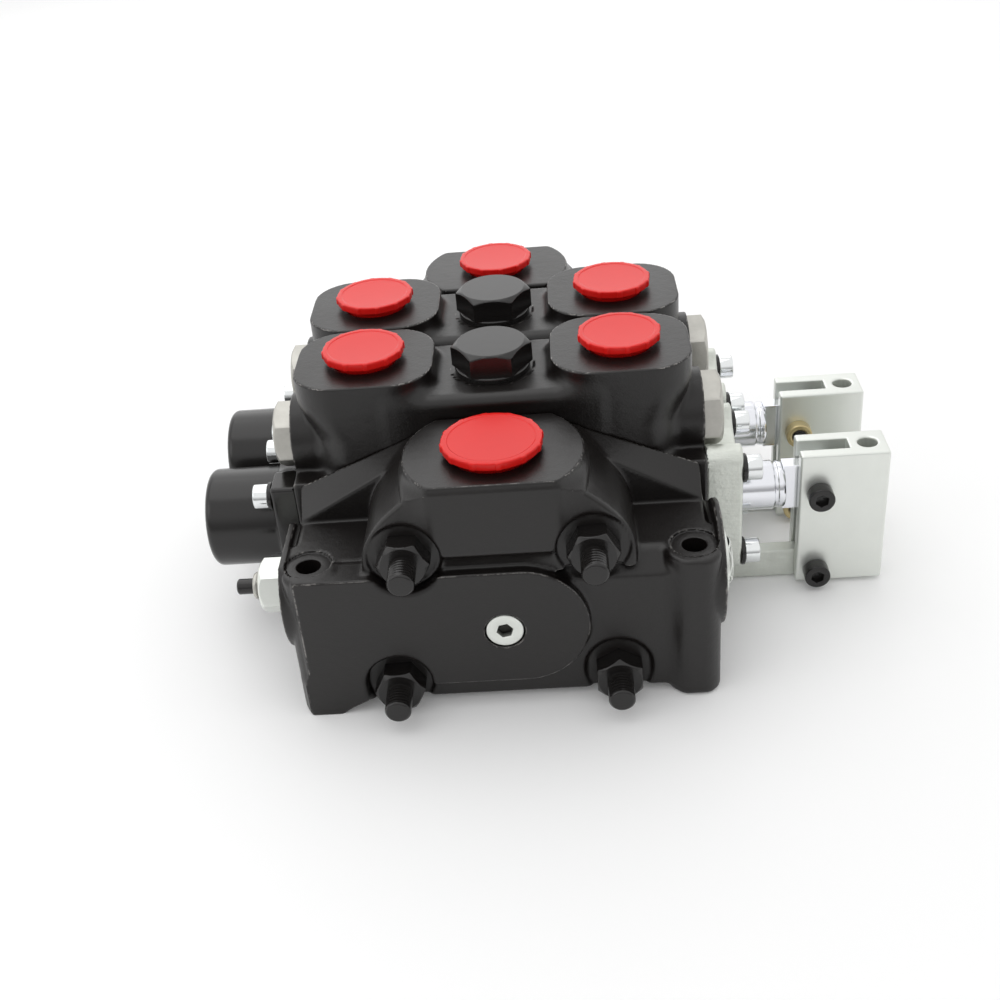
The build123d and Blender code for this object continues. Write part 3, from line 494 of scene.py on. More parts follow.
def finish(name, light, dark, metallic, rough, bump, fine=900.0, coarse=120.0, stretch=1.0,
           blotch=40.0, contrast=1.0, wear_and_highlight=None, wear_and_highlight_amount=0.0, spread=0.08, **sockets):
    """A finish: two colours in slow patches, grain as bump, uneven gloss, worn edges with a painted
    highlight, painted shade in sockets.
    """
    material = bpy.data.materials.new(name)
    material.use_nodes = True
    tree = material.node_tree
    shader = tree.nodes["Principled BSDF"]
    shader.inputs["Metallic"].default_value = metallic
    for label, value in sockets.items():
        shader.inputs[label.replace("_", " ")].default_value = value
    patch = place_group(tree, blotch_group, Scale=blotch, Contrast=contrast)
    colour = ramp(tree, patch.outputs["Mask"], dark, light)
    # Outer edges turn lighter: rubbed paint and a painted highlight.
    if wear_and_highlight is not None:
        rubbed_and_highlight = place_group(tree, edge_wear_and_highlight_group, Amount=wear_and_highlight_amount)
        colour = ramp(tree, rubbed_and_highlight.outputs["Mask"], colour, wear_and_highlight)
    # Socket faces turn near black: painted shade in the sockets.
    painted_shade_node = place_group(tree, painted_shade_group, Amount=0.97)
    colour = ramp(tree, painted_shade_node.outputs["Mask"], colour, (0.01, 0.009, 0.008))
    tree.links.new(colour, shader.inputs["Base Color"])
    gloss = maths(tree, "MULTIPLY", patch.outputs["Mask"], spread)
    gloss = maths(tree, "ADD", gloss, rough - spread / 2)
    tree.links.new(gloss, shader.inputs["Roughness"])
    sand = place_group(tree, grain_group, Fine=fine, Coarse=coarse, Stretch=stretch)
    height = tree.nodes.new("ShaderNodeBump")
    height.inputs["Strength"].default_value = bump
    height.inputs["Distance"].default_value = 0.0004
    tree.links.new(sand.outputs["Height"], height.inputs["Height"])
    tree.links.new(height.outputs["Normal"], shader.inputs["Normal"])
    return material


# The light grey on the black paint's outer edges is partly rubbed paint and partly a painted highlight.
black_paint = finish("black_paint", (0.0085, 0.0066, 0.0060), (0.0045, 0.0036, 0.0032), 0.0, 0.34, 0.22,
                     fine=1500, coarse=300, contrast=1.5, wear_and_highlight=(0.30, 0.285, 0.27), wear_and_highlight_amount=0.75, spread=0.12)
black_steel = finish("black_steel", (0.012, 0.0105, 0.010), (0.007, 0.0062, 0.0058), 0.0, 0.22, 0.05,
                     fine=1600, coarse=300)
zinc_plate = finish("zinc_plate", (0.84, 0.865, 0.82), (0.74, 0.76, 0.72), 0.75, 0.34, 0.12,
                    fine=900, coarse=80, blotch=60)
zinc_bright = finish("zinc_bright", (0.86, 0.88, 0.88), (0.74, 0.76, 0.76), 1.0, 0.14, 0.04,
                     fine=900, coarse=80, blotch=90)
zinc_dull = finish("zinc_dull", (0.56, 0.55, 0.51), (0.40, 0.39, 0.36), 0.8, 0.38, 0.2,
                   fine=900, coarse=200, blotch=120, contrast=1.8)
zinc_rough = finish("zinc_rough", (0.80, 0.83, 0.77), (0.62, 0.64, 0.59), 0.7, 0.42, 0.9,
                    fine=520, coarse=110, stretch=5.0, blotch=90, contrast=1.6)
chrome_plate = finish("chrome_plate", (0.86, 0.87, 0.91), (0.80, 0.81, 0.85), 1.0, 0.14, 0.03, spread=0.04)
yellow_zinc = finish("yellow_zinc", (0.66, 0.54, 0.30), (0.50, 0.41, 0.22), 0.9, 0.28, 0.1)
red_plastic = finish("red_plastic", (0.78, 0.012, 0.009), (0.70, 0.009, 0.007), 0.0, 0.24, 0.05,
                     fine=700, coarse=90, Specular_IOR_Level=0.28)
spring_steel = finish("spring_steel", (0.5, 0.5, 0.5), (0.38, 0.38, 0.38), 1.0, 0.3, 0.05)
seal_rubber = finish("seal_rubber", (0.02, 0.02, 0.02), (0.014, 0.014, 0.014), 0.0, 0.6, 0.2)
finishes = {
    "black_casting": black_paint,
    "black_steel": black_steel,
    "zinc_steel": zinc_plate,
    "zinc_casting": zinc_rough,
    "chrome": chrome_plate,
    "yellow_zinc": yellow_zinc,
    "red_plastic": red_plastic,
    "spring_steel": spring_steel,
    "rubber": seal_rubber,
}
node_slots = {part["node"]: part["material_slot"] for part in frame["record"]["subparts"]}
bodies = frame["record"]["behaviour"]["bodies"]
node_bodies = {node: body for body, nodes in bodies.items() for node in nodes}
for node, piece in frame["nodes"].items():
    for socket in piece.material_slots:
        socket.material = finishes[node_slots[node]]


def dress(piece, node, own_finish=None):
    """A new piece stands for a node: it takes its body, slot and finish, and hides it."""
    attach(piece, node_bodies[node])
    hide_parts(node)
    piece.data.materials.append(own_finish or finishes[node_slots[node]])
    return piece


# %% [markdown]
# ## The covers
#
# An end cover is a low body with a ledge for its mounting holes, feet that reach
# the plate, a shoulder that rises to the port boss, and two sloping webs between
# the boss and the ends. The inlet cover has a milled pad on its front face.

# %% Cover casting
rod_upper = (33.9, 68.4)
rod_lower = (41.5, 10.8)
mount_x, mount_edge = 70.5, 12.6
ledge_z = 62.0
disc_z = 44.5
foot_z = 3.0
nut_recess = 5.5
upper_recess = 13.2
lower_recess = 12.2
recess_rise = 2.4
web_front = 40.0


def cover_field(y_outer, y_inner, boss_z, boss_radius, disc_radius, pad):
    """The field of a cover. The depth d runs from its outer face into the casting."""
    out = 1 if y_outer > y_inner else -1
    depth = abs(y_outer - y_inner)

    def field(p):
        x, d, z = p[0], (y_outer - p[1]) * out, p[2]
        side = np.abs(x)
        q = [x, d, z]
        m = [side, d, z]
        body = box_field(m, (-77, 4.0, foot_z), (77, depth + 6, ledge_z + 9), 1.6)
        fall = (z - ledge_z + 0.9 * (12.3 - d)) / 1.35
        body = meet(body, fall, 1.2)
        corner_cut = np.maximum(side - d - 75.2, -side - d + 65.8) / 1.414
        column = meet(box_field(m, (60.2, 0.2, 0), (79.8, 25.2, ledge_z + 9), 2.2), corner_cut, 2.0)
        body = meet(join(body, column, 3.0), z - ledge_z, 1.8)
        if pad:
            radius = (ledge_z - 12.0) / 2
            outline = np.minimum(
                np.sqrt((x - 6.6) ** 2 + (z - 12.0 - radius) ** 2) - radius,
                rounded_outline(x + 34.2, z - 12.0 - radius, 40.8, radius, 0.2),
            )
            body = join(body, bar_field(outline, d, 0, 12, 0.9), 1.6)
            foot = meet(rounded_outline(x + 64.0, z - 8.0, 12.0, 8.0, 2.0), (x + 66.5 - 2.2 * z) / 2.4, 3.0)
            body = join(body, bar_field(foot, d, 0, 25, 0.9), 5.0)
        climb = (z - ledge_z) / (boss_z - 9.0 - ledge_z)
        width = boss_radius + 17.0 * (1 - 0.9 * np.clip(climb, 0, 1.06) ** 2.2)
        ends = np.maximum(ledge_z - 3 - z, z - boss_z + 6)
        shoulder = meet((side - width) / 1.15, np.maximum(4.1 - d, ends), 2.4)
        round_outline = np.sqrt(x**2 + (d - depth / 2) ** 2) - boss_radius
        outline = meet(round_outline, 1.4 - d, 1.6)
        boss = bar_field(outline, z, ledge_z + 8, boss_z, 0.6)
        body = join(body, join(boss, shoulder, 7.0), 1.4)
        reach = np.clip((d - web_front) / 10.5, 0, 1.5)
        web_top = ledge_z + 0.6 + 10.8 * reach + (0.588 - 0.169 * reach) * (76.0 - side)
        web = np.maximum((z - web_top) / 1.55, np.maximum(side - 76.6, 20 - side))
        web = meet(web, web_front - d, 0.9)
        web = np.maximum(web, z - boss_z + 4)
        body = join(body, web, 1.2)
        disc = rod_field(m, 0, (depth / 2, disc_z), disc_radius, 74.0, 81.5, 0.7)
        disc = meet(disc, np.minimum(79.0 - side, z - ledge_z + 2.0), 0.8)
        if pad:
            disc = meet(disc, np.where(x < 0, z - ledge_z - 0.4, -9.0), 0.8)
        body = join(body, disc, 0.8)
        body = meet(np.maximum(body, np.maximum(-d, -z)), d - depth, 1.2)
        for (place_x, place_z), radius, rise in (
            (rod_upper, upper_recess, 0.0),
            (rod_lower, lower_recess, recess_rise),
        ):
            drop = np.clip(z - place_z, 0, rise)
            outline = np.sqrt((side - place_x) ** 2 + (z - place_z - drop) ** 2) - radius
            body = cut(body, bar_field(outline, d, -9, nut_recess, 0.8), 2.4)
            body = cut(body, rod_field(m, 1, (place_x, place_z), 5.5, -9, depth + 9), 0.4)
        body = cut(body, rod_field(m, 2, (mount_x, mount_edge), 8.5, ledge_z - 1.0, 90, 0.3), 0.5)
        body = cut(body, rod_field(m, 2, (mount_x, mount_edge), 5.6, -5, 80), 0.5)
        body = cut(body, rod_field(q, 2, (0, depth / 2), 15.5 if pad else 12.5, boss_z - 9, boss_z + 9), 0.8)
        if pad:
            body = cut(body, rod_field(q, 1, (0, 35.6), 7.4, -5, 9.5), 0.8)
        return cut(body, rod_field(m, 0, (depth / 2, disc_z), 7.3, 70, 90), 0.5)

    return field


def hole_seats(y):
    """A ring round each mounting hole of a cover: its milled seat and its bore."""
    low, high, bore, rim = 0.3, ledge_z - 0.95, 4.5, 8.45
    loop = round_corners([(low, 6), (low, rim), (high, rim), (high, bore), (low, bore), (low, 6)], 0.5)[:-1]
    return [turned_arrays(loop, 2, (side * mount_x, y, 0), 1, 96, ring=True) for side in (-1, 1)]


cover_cell = 0.95
inlet_cover = cast(
    "inlet_cover_casting",
    cover_field(front_y, inlet_back_y, inlet_port_z, 32.8, 23.5, True),
    *node_box("inlet_cover"),
    cover_cell,
    hole_seats(front_y + mount_edge),
)
dress(inlet_cover, "inlet_cover")
outlet_cover = cast(
    "outlet_cover_casting",
    cover_field(rear_y, outlet_front_y, outlet_port_z, 31.5, 20.5, False),
    *node_box("outlet_cover"),
    cover_cell,
    hole_seats(rear_y - mount_edge),
)
dress(outlet_cover, "outlet_cover")

# %% [markdown]
# ## The sections
#
# Each section carries two port towers, cut flat where the next casting stands, and
# a saddle between them for the load check plug. Side bosses reach out to the plugs
# of the work port cavities, and the ends are milled for the caps and brackets.


# %% Section casting
def section_field(y_middle):
    """The field of a section. The towers narrow at their outer ends below the port faces."""

    def field(p):
        x, y, z = np.abs(p[0]), p[1] - y_middle, p[2]
        q = [x, y, z]
        base = box_field(q, (-80, -27, foot_z), (80, 27, 73), 1.5)
        fall = np.clip((104.0 - z) / 16.0, 0, 1)
        narrow = 2.6 * fall**2 * (3 - 2 * fall)
        outline = rounded_outline(x - port_x + narrow, y, 26.7 - narrow, 24.6, 17.0)
        tower = bar_field(outline, z, 50, port_z, 0.5)
        saddle_outline = rounded_outline(y, z - 50.0, 24.5, saddle_z - 50.0, 4.5)
        saddle = bar_field(saddle_outline, x, -40, 40, 0.5)
        body = join(base, tower, 4.0)
        body = join(body, saddle, 5.0)
        boss = rod_field(q, 0, (0, side_plug_z), 16.5, 50, 80, 0.7)
        body = join(body, boss, 3.0)
        body = meet(np.maximum(body, x - 80), np.abs(y) - 25, 1.2)
        body = cut(body, rod_field(q, 2, (0, 0), 16.0, saddle_z - 0.3, saddle_z + 20, 0.1), 0.4)
        return cut(body, rod_field(q, 2, (port_x, 0), 12.5, port_z - 9, port_z + 9), 1.2)

    return field


for number in section_numbers:
    piece = cast(
        f"section_{number}_casting",
        section_field(section_y[number]),
        *node_box(f"valve_section_{number}"),
        cover_cell,
    )
    dress(piece, f"valve_section_{number}")

# %% [markdown]
# ## Red transport caps
#
# A transport cap is a moulded plastic disc with a notched rim and a shallow dished
# top, screwed a few turns into the port. The rim is a radius rule: a circle that
# steps out to a low lug every thirty degrees.


# %% Caps
def cap_piece(node, name):
    """A transport cap over a node's box."""
    low, high = node_box(node)
    centre = (low + high) / 2
    radius = (high[0] - low[0]) / 2
    top = high[2]
    thick = 3.2
    stem = radius * 0.74
    rows = [(-13.0, TIP), (-13.0, stem), (-thick, stem), (-thick, radius)]
    rows += [(-0.25, radius), (-0.25, radius * 0.86), (-0.45, radius * 0.84), (-0.45, TIP)]
    profile = round_corners(rows, 0.6)

    def rule(angle, along, ring_radius):
        phase = (angle * 12 / (2 * pi) + 0.2) % 1.0
        lug = np.clip((0.13 - np.abs(phase - 0.5)) / 0.03, 0, 1)
        rim = np.clip((ring_radius - radius * 0.9) / (radius * 0.1), 0, 1)
        return ring_radius - 0.42 * (1 - lug) * rim

    part = turned_arrays(profile, 2, (centre[0], centre[1], top), sides=288, shape=rule)
    piece = gather(name, [part], 45)
    return dress(piece, node)


for letter in ("p", "t", "a1", "b1", "a2", "b2"):
    cap_piece(f"port_cap_{letter}", f"transport_cap_{letter}")

# %% [markdown]
# ## Nuts and studs
#
# The tie rod nuts are hexagons with the chamfer that a bar turned in a lathe gets.
# The studs end in a rolled thread: a radius that rises and falls with the angle
# added to the distance along, which is a helix.


# %% Hexagon pieces
def nut_profile(low, high, outer, inner=TIP):
    """Rows of a nut or a plug's head from one face to the other, close together in the chamfers."""
    rows = [(low, inner)]
    rows += [(low, r) for r in np.linspace(inner, outer, 5)[1:-1]]
    rows += [(low + t, outer) for t in np.linspace(0, 1.8, 7)]
    rows += [(high - t, outer) for t in np.linspace(1.8, 0, 7)]
    rows += [(high, r) for r in np.linspace(outer, inner, 5)[1:]]
    return rows


def hexagon_part(centre, axis, direction, low, high, width, turn=0.0, ends=(True, True), inner=TIP):
    """Vertices and faces of a chamfered hexagon."""
    rows = nut_profile(low, high, width, inner)
    rule = hex_shape(width, *ends, low, high, turn=turn)
    return turned_arrays(rows, axis, centre, direction, sides=120, shape=rule)


rod_places = [(-rod_upper[0], rod_upper[1]), rod_upper, (-rod_lower[0], rod_lower[1]), rod_lower]
nut_turns = [0.0, 0.03, 0.04, pi / 6]
for node, name, seat, direction in (
    ("tie_rod_nuts_front", "front_nuts", front_y + nut_recess, -1),
    ("tie_rod_nuts_rear", "rear_nuts", rear_y - nut_recess, 1),
):
    parts = []
    for (x, z), turn in zip(rod_places, nut_turns):
        parts.append(hexagon_part((x, seat, z), 1, direction, 0.0, 8.0, 17.0, turn, (False, True)))
    dress(gather(name, parts), node)


def thread(pitch, depth):
    """A radius rule: a rolled thread, whose wave runs with the angle plus the distance along."""

    def rule(angle, along, radius):
        wave = np.abs(((along / pitch + angle / (2 * pi)) % 1.0) * 2 - 1)
        return radius - depth * wave * (radius > 3.5)

    return rule


rod_low, rod_high = node_box("tie_rods")
core_start = 29.0
core_length = rod_high[1] - rod_low[1] - 2 * core_start
tip_rows = round_corners([(0, TIP), (0, 4.2), (0.9, 5.0), (13, 5.0)], 0.4)
screw_rows = [(t, 5.0) for t in np.arange(1.1, 26.0, 0.25)]
end_rows = np.concatenate([tip_rows[:-1], screw_rows, [(30, 4.9), (30, TIP)]])
core_rows = [(0, TIP), (0, 4.9), (core_length, 4.9), (core_length, TIP)]
parts = []
for x, z in rod_places:
    for start, direction in ((rod_low[1], 1), (rod_high[1], -1)):
        parts.append(turned_arrays(end_rows, 1, (x, start, z), direction, 72, thread(1.5, 0.2)))
    parts.append(turned_arrays(core_rows, 1, (x, rod_low[1] + core_start, z), 1, 48))
dress(gather("tie_rod_studs", parts), "tie_rods")

# %% [markdown]
# ## Plugs of the sections
#
# A load check plug is a wide hexagon on a round collar, with a short stub in the
# saddle. A side plug is a thin hexagon, and its shank fills the bore behind it.

# %% Load check plugs and side plugs
for number in section_numbers:
    low, high = node_box(f"check_plug_{number}")
    centre = ((low[0] + high[0]) / 2, section_y[number], saddle_z)
    rows = [(-7, TIP), (-7, 9.8), (-0.4, 9.8), (-0.4, 14.6)]
    rows += [(1.6, 14.6), (2.0, 14.0), (2.0, TIP)]
    collar = turned_arrays(round_corners(rows, 0.3), 2, centre)
    head = hexagon_part(centre, 2, 1, 1.8, high[2] - saddle_z, 27.0, 0.0, (False, True))
    dress(gather(f"saddle_plug_{number}", [collar, head]), f"check_plug_{number}")

for node, side, width, turn in (
    ("side_plugs_left", -1, 24.0, pi / 9),
    ("side_plugs_right", 1, 27.0, pi / 9),
):
    parts = []
    for number in section_numbers:
        centre = (side * end_x, section_y[number], side_plug_z)
        parts.append(hexagon_part(centre, 0, side, 0.0, 7.5, width, turn, (False, True)))
        shank = [(-12.9, TIP), (-12.9, 9.0), (0.0, 9.0), (0.0, TIP)]
        parts.append(turned_arrays(shank, 0, centre, side, 48))
    dress(gather(node.replace("side_plugs", "cavity_plugs"), parts), node, zinc_dull)

# %% [markdown]
# ## Relief valve and cover plugs
#
# The relief valve is a cartridge with a hexagon head, held by a locknut on its
# adjusting screw. Its profile is a closed loop, out along the shank and the head
# and back through the bore, so that the poppet and its spring have their room.

# %% Relief valve and cover plugs
relief_low, relief_high = node_box("relief_cartridge")
inlet_middle_y = (relief_low[1] + relief_high[1]) / 2
relief_face = (-disc_x, inlet_middle_y, disc_z)
relief_turn = np.radians(12)
head, nut_end, screw_end = 10.8, 13.8, 20.5
rows = [(-34.0, 2.3), (-34.0, 7.0), *nut_profile(0.0, head, 19.0, 7.0)]
rows += [(head, 3.1), (0.0, 3.1), (0.0, 4.5), (-31.0, 4.5), (-31.0, 2.3)]
rule = hex_shape(19.0, True, True, 0.0, head, turn=relief_turn)
loop = turned_arrays(rows, 0, relief_face, -1, 120, rule, ring=True)
dress(gather("relief_valve_body", [loop]), "relief_cartridge")
screw_start = max(-relief_face[0] + node_box("relief_adjuster")[1][0], -30.0)
rows = [(screw_start, TIP), (screw_start, 3.0), (screw_end - 0.6, 3.0), (screw_end, 2.4), (screw_end, TIP)]
adjuster = turned_arrays(round_corners(rows, 0.2), 0, relief_face, -1, 48)
dress(gather("relief_valve_screw", [adjuster]), "relief_adjuster")
locknut = hexagon_part(relief_face, 0, -1, head, nut_end, 10.0, relief_turn)
dress(gather("relief_valve_locknut", [locknut]), "relief_locknut", zinc_dull)
for node in ("inlet_plug", "outlet_plug_left", "outlet_plug_right"):
    low, high = node_box(node)
    side = 1 if low[0] > 0 else -1
    centre = (side * disc_x, (low[1] + high[1]) / 2, disc_z)
    inner = disc_x - min(abs(low[0]), abs(high[0]))
    shank = turned_arrays([(-inner, TIP), (-inner, 6.9), (0, 6.9), (0, TIP)], 0, centre, side, 48)
    rows = round_corners([(0, TIP), (0, 12), (2.2, 12), (2.2, TIP)], 0.5)
    collar = turned_arrays(rows, 0, centre, side, 96)
    hexagon_head = hexagon_part(centre, 0, side, 2.0, 4.0, 17.0, 0.0, (False, True))
    dress(gather(f"{node}_hexagon", [shank, collar, hexagon_head]), node)

# %% [markdown]
# ## Screws and washers
#
# A socket head screw is one turned grid: up the head's side, over its rounded rim,
# inwards along its top, and down into a hexagon socket, where the radius rule
# changes from the circle to the hexagon.


# %% Socket screws
def screw_part(
    centre, axis, direction, head_radius=5.0, head=6.0, shank=2.9, length=20.0, socket=5.0, turn=0.0
):
    """A socket head screw whose head stands on its centre point and faces along direction."""
    outer = [(-length, TIP), (-length, shank), (0, shank), (0, head_radius)]
    outer += [(head, head_radius), (head, socket * 0.62)]
    outer = round_corners(outer, 0.6)
    inner = [(head - 0.15, 2.0 * socket), (head - 3.0, 2.0 * socket), (head - 3.4, TIP)]
    rows = np.concatenate([outer, inner])
    last = len(rows) - 3

    def rule(angle, along, radius):
        bound = hexagon(socket, angle, turn)
        deep = np.arange(len(radius))[:, None] >= last
        return np.where(deep, np.minimum(radius, bound), radius)

    vertices, faces = turned_arrays(rows, axis, centre, direction, 72, rule)
    # Rows inside the socket carry the mask of painted shade.
    painted_shade = np.repeat(np.arange(len(rows)) >= last + 1, 72)
    return vertices, faces, painted_shade


def washer_part(centre, direction, radius=5.7, hole=3.2, thick=1.5):
    """A flat ring along X with rounded edges."""
    loop = round_corners([(0, 4.5), (0, radius), (thick, radius), (thick, hole), (0, hole), (0, 4.5)], 0.3)
    return turned_arrays(loop[:-1], 0, centre, direction, 64, ring=True)


gauge_low, gauge_high = node_box("gauge_plug")
gauge_seat = ((gauge_low[0] + gauge_high[0]) / 2, gauge_high[1], (gauge_low[2] + gauge_high[2]) / 2)
gauge = screw_part(gauge_seat, 1, -1, 7.0, gauge_high[1] - gauge_low[1], 6.0, 0.1, 5.6, 0.2)
dress(gather("gauge_plug_disc", [gauge]), "gauge_plug")

screw_y, screw_rise = 17.5, 19.6
for prefix, side in (("spring_cap", -1), ("bracket", 1)):
    washer_low, washer_high = node_box(f"{prefix}_washers")
    face = washer_high[0] if side < 0 else washer_low[0]
    screws, washers = [], []
    for number in section_numbers:
        for index, (dy, dz) in enumerate([(-1, 1), (1, 1), (-1, -1), (1, -1)]):
            place = (face, section_y[number] + dy * screw_y, spool_z + dz * screw_rise)
            washers.append(washer_part(place, side))
            on_washer = (face + side * 1.5, place[1], place[2])
            screws.append(screw_part(on_washer, 0, side, turn=0.3 * index, length=24.0))
    dress(gather(f"{prefix}_socket_screws", screws), f"{prefix}_screws", zinc_bright)
    dress(gather(f"{prefix}_spring_washers", washers), f"{prefix}_washers")

# %% [markdown]
# ## Spring caps
#
# The cap is a drawn cup with a rounded end on a square flange. The flange is notched
# round the plug above it.


# %% Spring caps
def spring_cap_field(y_middle, end, face, back):
    """A cup and a flange joined by a small fillet."""

    def field(p):
        q = [p[0], p[1] - y_middle, p[2] - spool_z]
        cup = rod_field(q, 0, (0, 0), 20.0, end, back, 3.0)
        flange = box_field(q, (face, -23.5, -27), (back + 4, 23.5, 26), 1.6)
        body = join(cup, flange, 1.5)
        body = np.maximum(body, q[0] - back)
        notch = rod_field(q, 0, (0, side_plug_z - spool_z), 14.9, -120, -70)
        body = cut(body, notch, 0.8)
        return np.maximum(body, -rod_field(q, 0, (0, 0), 17.0, end + 3, back + 5, 2.0))

    return field


for number in section_numbers:
    low, high = node_box(f"spring_cap_{number}")
    field = spring_cap_field(section_y[number], low[0], -end_x - 10.0, high[0])
    dress(cast(f"spring_cap_{number}_cup", field, low, high, 0.9), f"spring_cap_{number}")

# %% [markdown]
# ## Lever brackets and blocks
#
# The bracket is a rough zinc plated casting: a plate with a bore for the spool and
# an arm that reaches into the lever block's slot. The block is a milled bar with
# broken edges, a slot for the spool's tongue and a threaded hole for the lever.

# %% Bracket and block fields
pivot_x = node_centre("lever_screws_1")[0]
pivot_z = node_box("lever_screws_1")[0][2] + 5.2
plate_low = spool_z - 27.0
arm_half, eye_radius = 3.25, 6.5
arm_low, arm_high = pivot_z - eye_radius, pivot_z + eye_radius
block_half, slot_half, slot_end_x = 9.0, 3.75, 138.5


def bracket_field(y_middle, high):
    """A plate with a hub for the spool, and an arm that hangs from it by a neck."""

    def field(p):
        q = [p[0], p[1] - y_middle, p[2]]
        middle_z = (plate_low + high[2]) / 2
        half_high = (high[2] - plate_low) / 2
        outline = rounded_outline(q[1], q[2] - middle_z, 22.5, half_high, 7.0)
        plate = bar_field(outline, q[0], end_x - 4, end_x + 14, 1.2)
        neck = box_field(q, (end_x - 4, -arm_half, arm_low), (end_x + 14, arm_half, spool_z), 0.7)
        arm = box_field(q, (end_x, -arm_half, arm_low), (pivot_x, arm_half, arm_high), 0.7)
        arm = np.minimum(arm, rod_field(q, 1, (pivot_x, pivot_z), eye_radius, -arm_half, arm_half, 0.7))
        body = join(plate, np.minimum(arm, neck), 3.0)
        hub = rod_field(q, 0, (0, spool_z), 15.0, end_x, end_x + 13.9, 1.0)
        body = join(body, hub, 2.0)
        body = np.maximum(body, end_x - q[0])
        body = cut(body, rod_field(q, 0, (0, side_plug_z), 16.6, end_x - 5, end_x + 30), 1.2)
        body = cut(body, rod_field(q, 0, (0, spool_z), 11.0, end_x - 5, end_x + 30), 0.8)
        return cut(body, rod_field(q, 1, (pivot_x, pivot_z), 3.05, -9, 9), 0.3)

    return field


def block_field(y_middle, low, high):
    """A bar with broken edges, a slot from the left and its holes."""

    def field(p):
        q = [p[0], p[1] - y_middle, p[2]]
        body = box_field(q, (low[0], -block_half, low[2]), (high[0], block_half, high[2]), 0.9)
        slot_low = (low[0] - 9, -slot_half, low[2] - 9)
        slot = box_field(q, slot_low, (slot_end_x, slot_half, high[2] + 9), 0.2)
        body = cut(body, slot, 0.6)
        thread_x = frame["record"]["mounts"][2]["pos_m"][0] / MM
        body = cut(body, rod_field(q, 2, (thread_x, 0), 3.9, high[2] - 24, high[2] + 9), 1.0)
        for z in (pivot_z, spool_z):
            body = cut(body, rod_field(q, 1, (pivot_x, z), 3.0, -20, 20), 0.4)
        return body

    return field


for number in section_numbers:
    low, high = node_box(f"lever_bracket_{number}")
    bracket = cast(f"lever_bracket_{number}_casting", bracket_field(section_y[number], high), low, high, 0.8)
    dress(bracket, f"lever_bracket_{number}")
    low, high = node_box(f"lever_block_{number}")
    block = cast(f"lever_block_{number}_bar", block_field(section_y[number], low, high), low, high, 0.55)
    dress(block, f"lever_block_{number}")

# %% [markdown]
# ## Spools
#
# The spool is ground and chromed. Its lands and grooves are one turned profile, and
# the tongue is a flat bar with a round end and an upright slot for the lever's screw.

# %% Spools
groove_half, groove_radius = 6.0, 6.5
tongue_start = 112.6


def tongue_field(y_middle, end):
    """A flat bar that ends in round corners, with a slot across it."""

    def field(p):
        x, y, z = p[0], p[1] - y_middle, p[2] - spool_z
        outline = rounded_outline(x - end + 40, z, 40, 10.0, 4.0)
        bar = bar_field(np.maximum(outline, tongue_start - x), y, -arm_half, arm_half, 0.3)
        slot = np.sqrt((x - pivot_x) ** 2 + np.maximum(np.abs(z) - 0.7, 0) ** 2) - 3.15
        return cut(bar, slot, 0.3)

    return field


for number in section_numbers:
    low, high = node_box(f"spool_{number}")
    rows = [(low[0], TIP), (low[0], 9.0), (low[0] + 1, 10.0)]
    for x in (-54.0, -25.0, 25.0, 54.0):
        rows += [(x - groove_half, 10.0), (x - groove_half, groove_radius)]
        rows += [(x + groove_half, groove_radius), (x + groove_half, 10.0)]
    rows += [(108.6, 10.0), (109.0, 9.3), (110.2, 9.3), (110.6, 9.6)]
    rows += [(112.2, 9.6), (113.2, 9.0), (113.4, TIP)]
    centre = (0, section_y[number], spool_z)
    body = turned_arrays(round_corners(rows, 0.35), 0, centre, 1, 128)
    corner_low = (tongue_start, centre[1] - 3.3, spool_z - 10)
    corner_high = (high[0], centre[1] + 3.3, spool_z + 10)
    tongue, quads = field_arrays(tongue_field(centre[1], high[0]), corner_low, corner_high, 0.5)
    piece = gather(f"spool_{number}_chromed", [body, (tongue, quads.tolist())], 30)
    dress(piece, f"spool_{number}")

# %% [markdown]
# ## Lever screws and nuts
#
# Two screws cross each lever block. The lower one holds the arm's eye, and the upper
# one runs in the tongue's slot. The second block has its heads at the back.

# %% Lever screws and nuts
for number in section_numbers:
    head = -1 if number == 1 else 1
    middle = section_y[number]
    screws, nuts = [], []
    for z in (pivot_z, spool_z):
        seat = (pivot_x, middle + head * block_half, z)
        screws.append(screw_part(seat, 1, head, 5.2, 6.0, 2.9, 23.0, 5.0, turn=0.4))
        back = (pivot_x, middle - head * block_half, z)
        rows = round_corners([(0, TIP), (0, 5.5), (5.0, 5.5), (5.0, 3.6), (4.4, 3.1), (4.4, TIP)], 0.7)
        nuts.append(turned_arrays(rows, 1, back, -head, 72))
    dress(gather(f"lever_{number}_screws", screws), f"lever_screws_{number}")
    dress(gather(f"lever_{number}_nuts", nuts), f"lever_nuts_{number}")

# %% [markdown]
# ## Light, floor and camera
#
# The camera sees the world at full strength, and a floor of white paper that glows a
# little for it and in reflections. Other rays meet a grey band low down in front, the
# dark end of a studio, which gives bright metal its dark stripes. The lamps are soft.

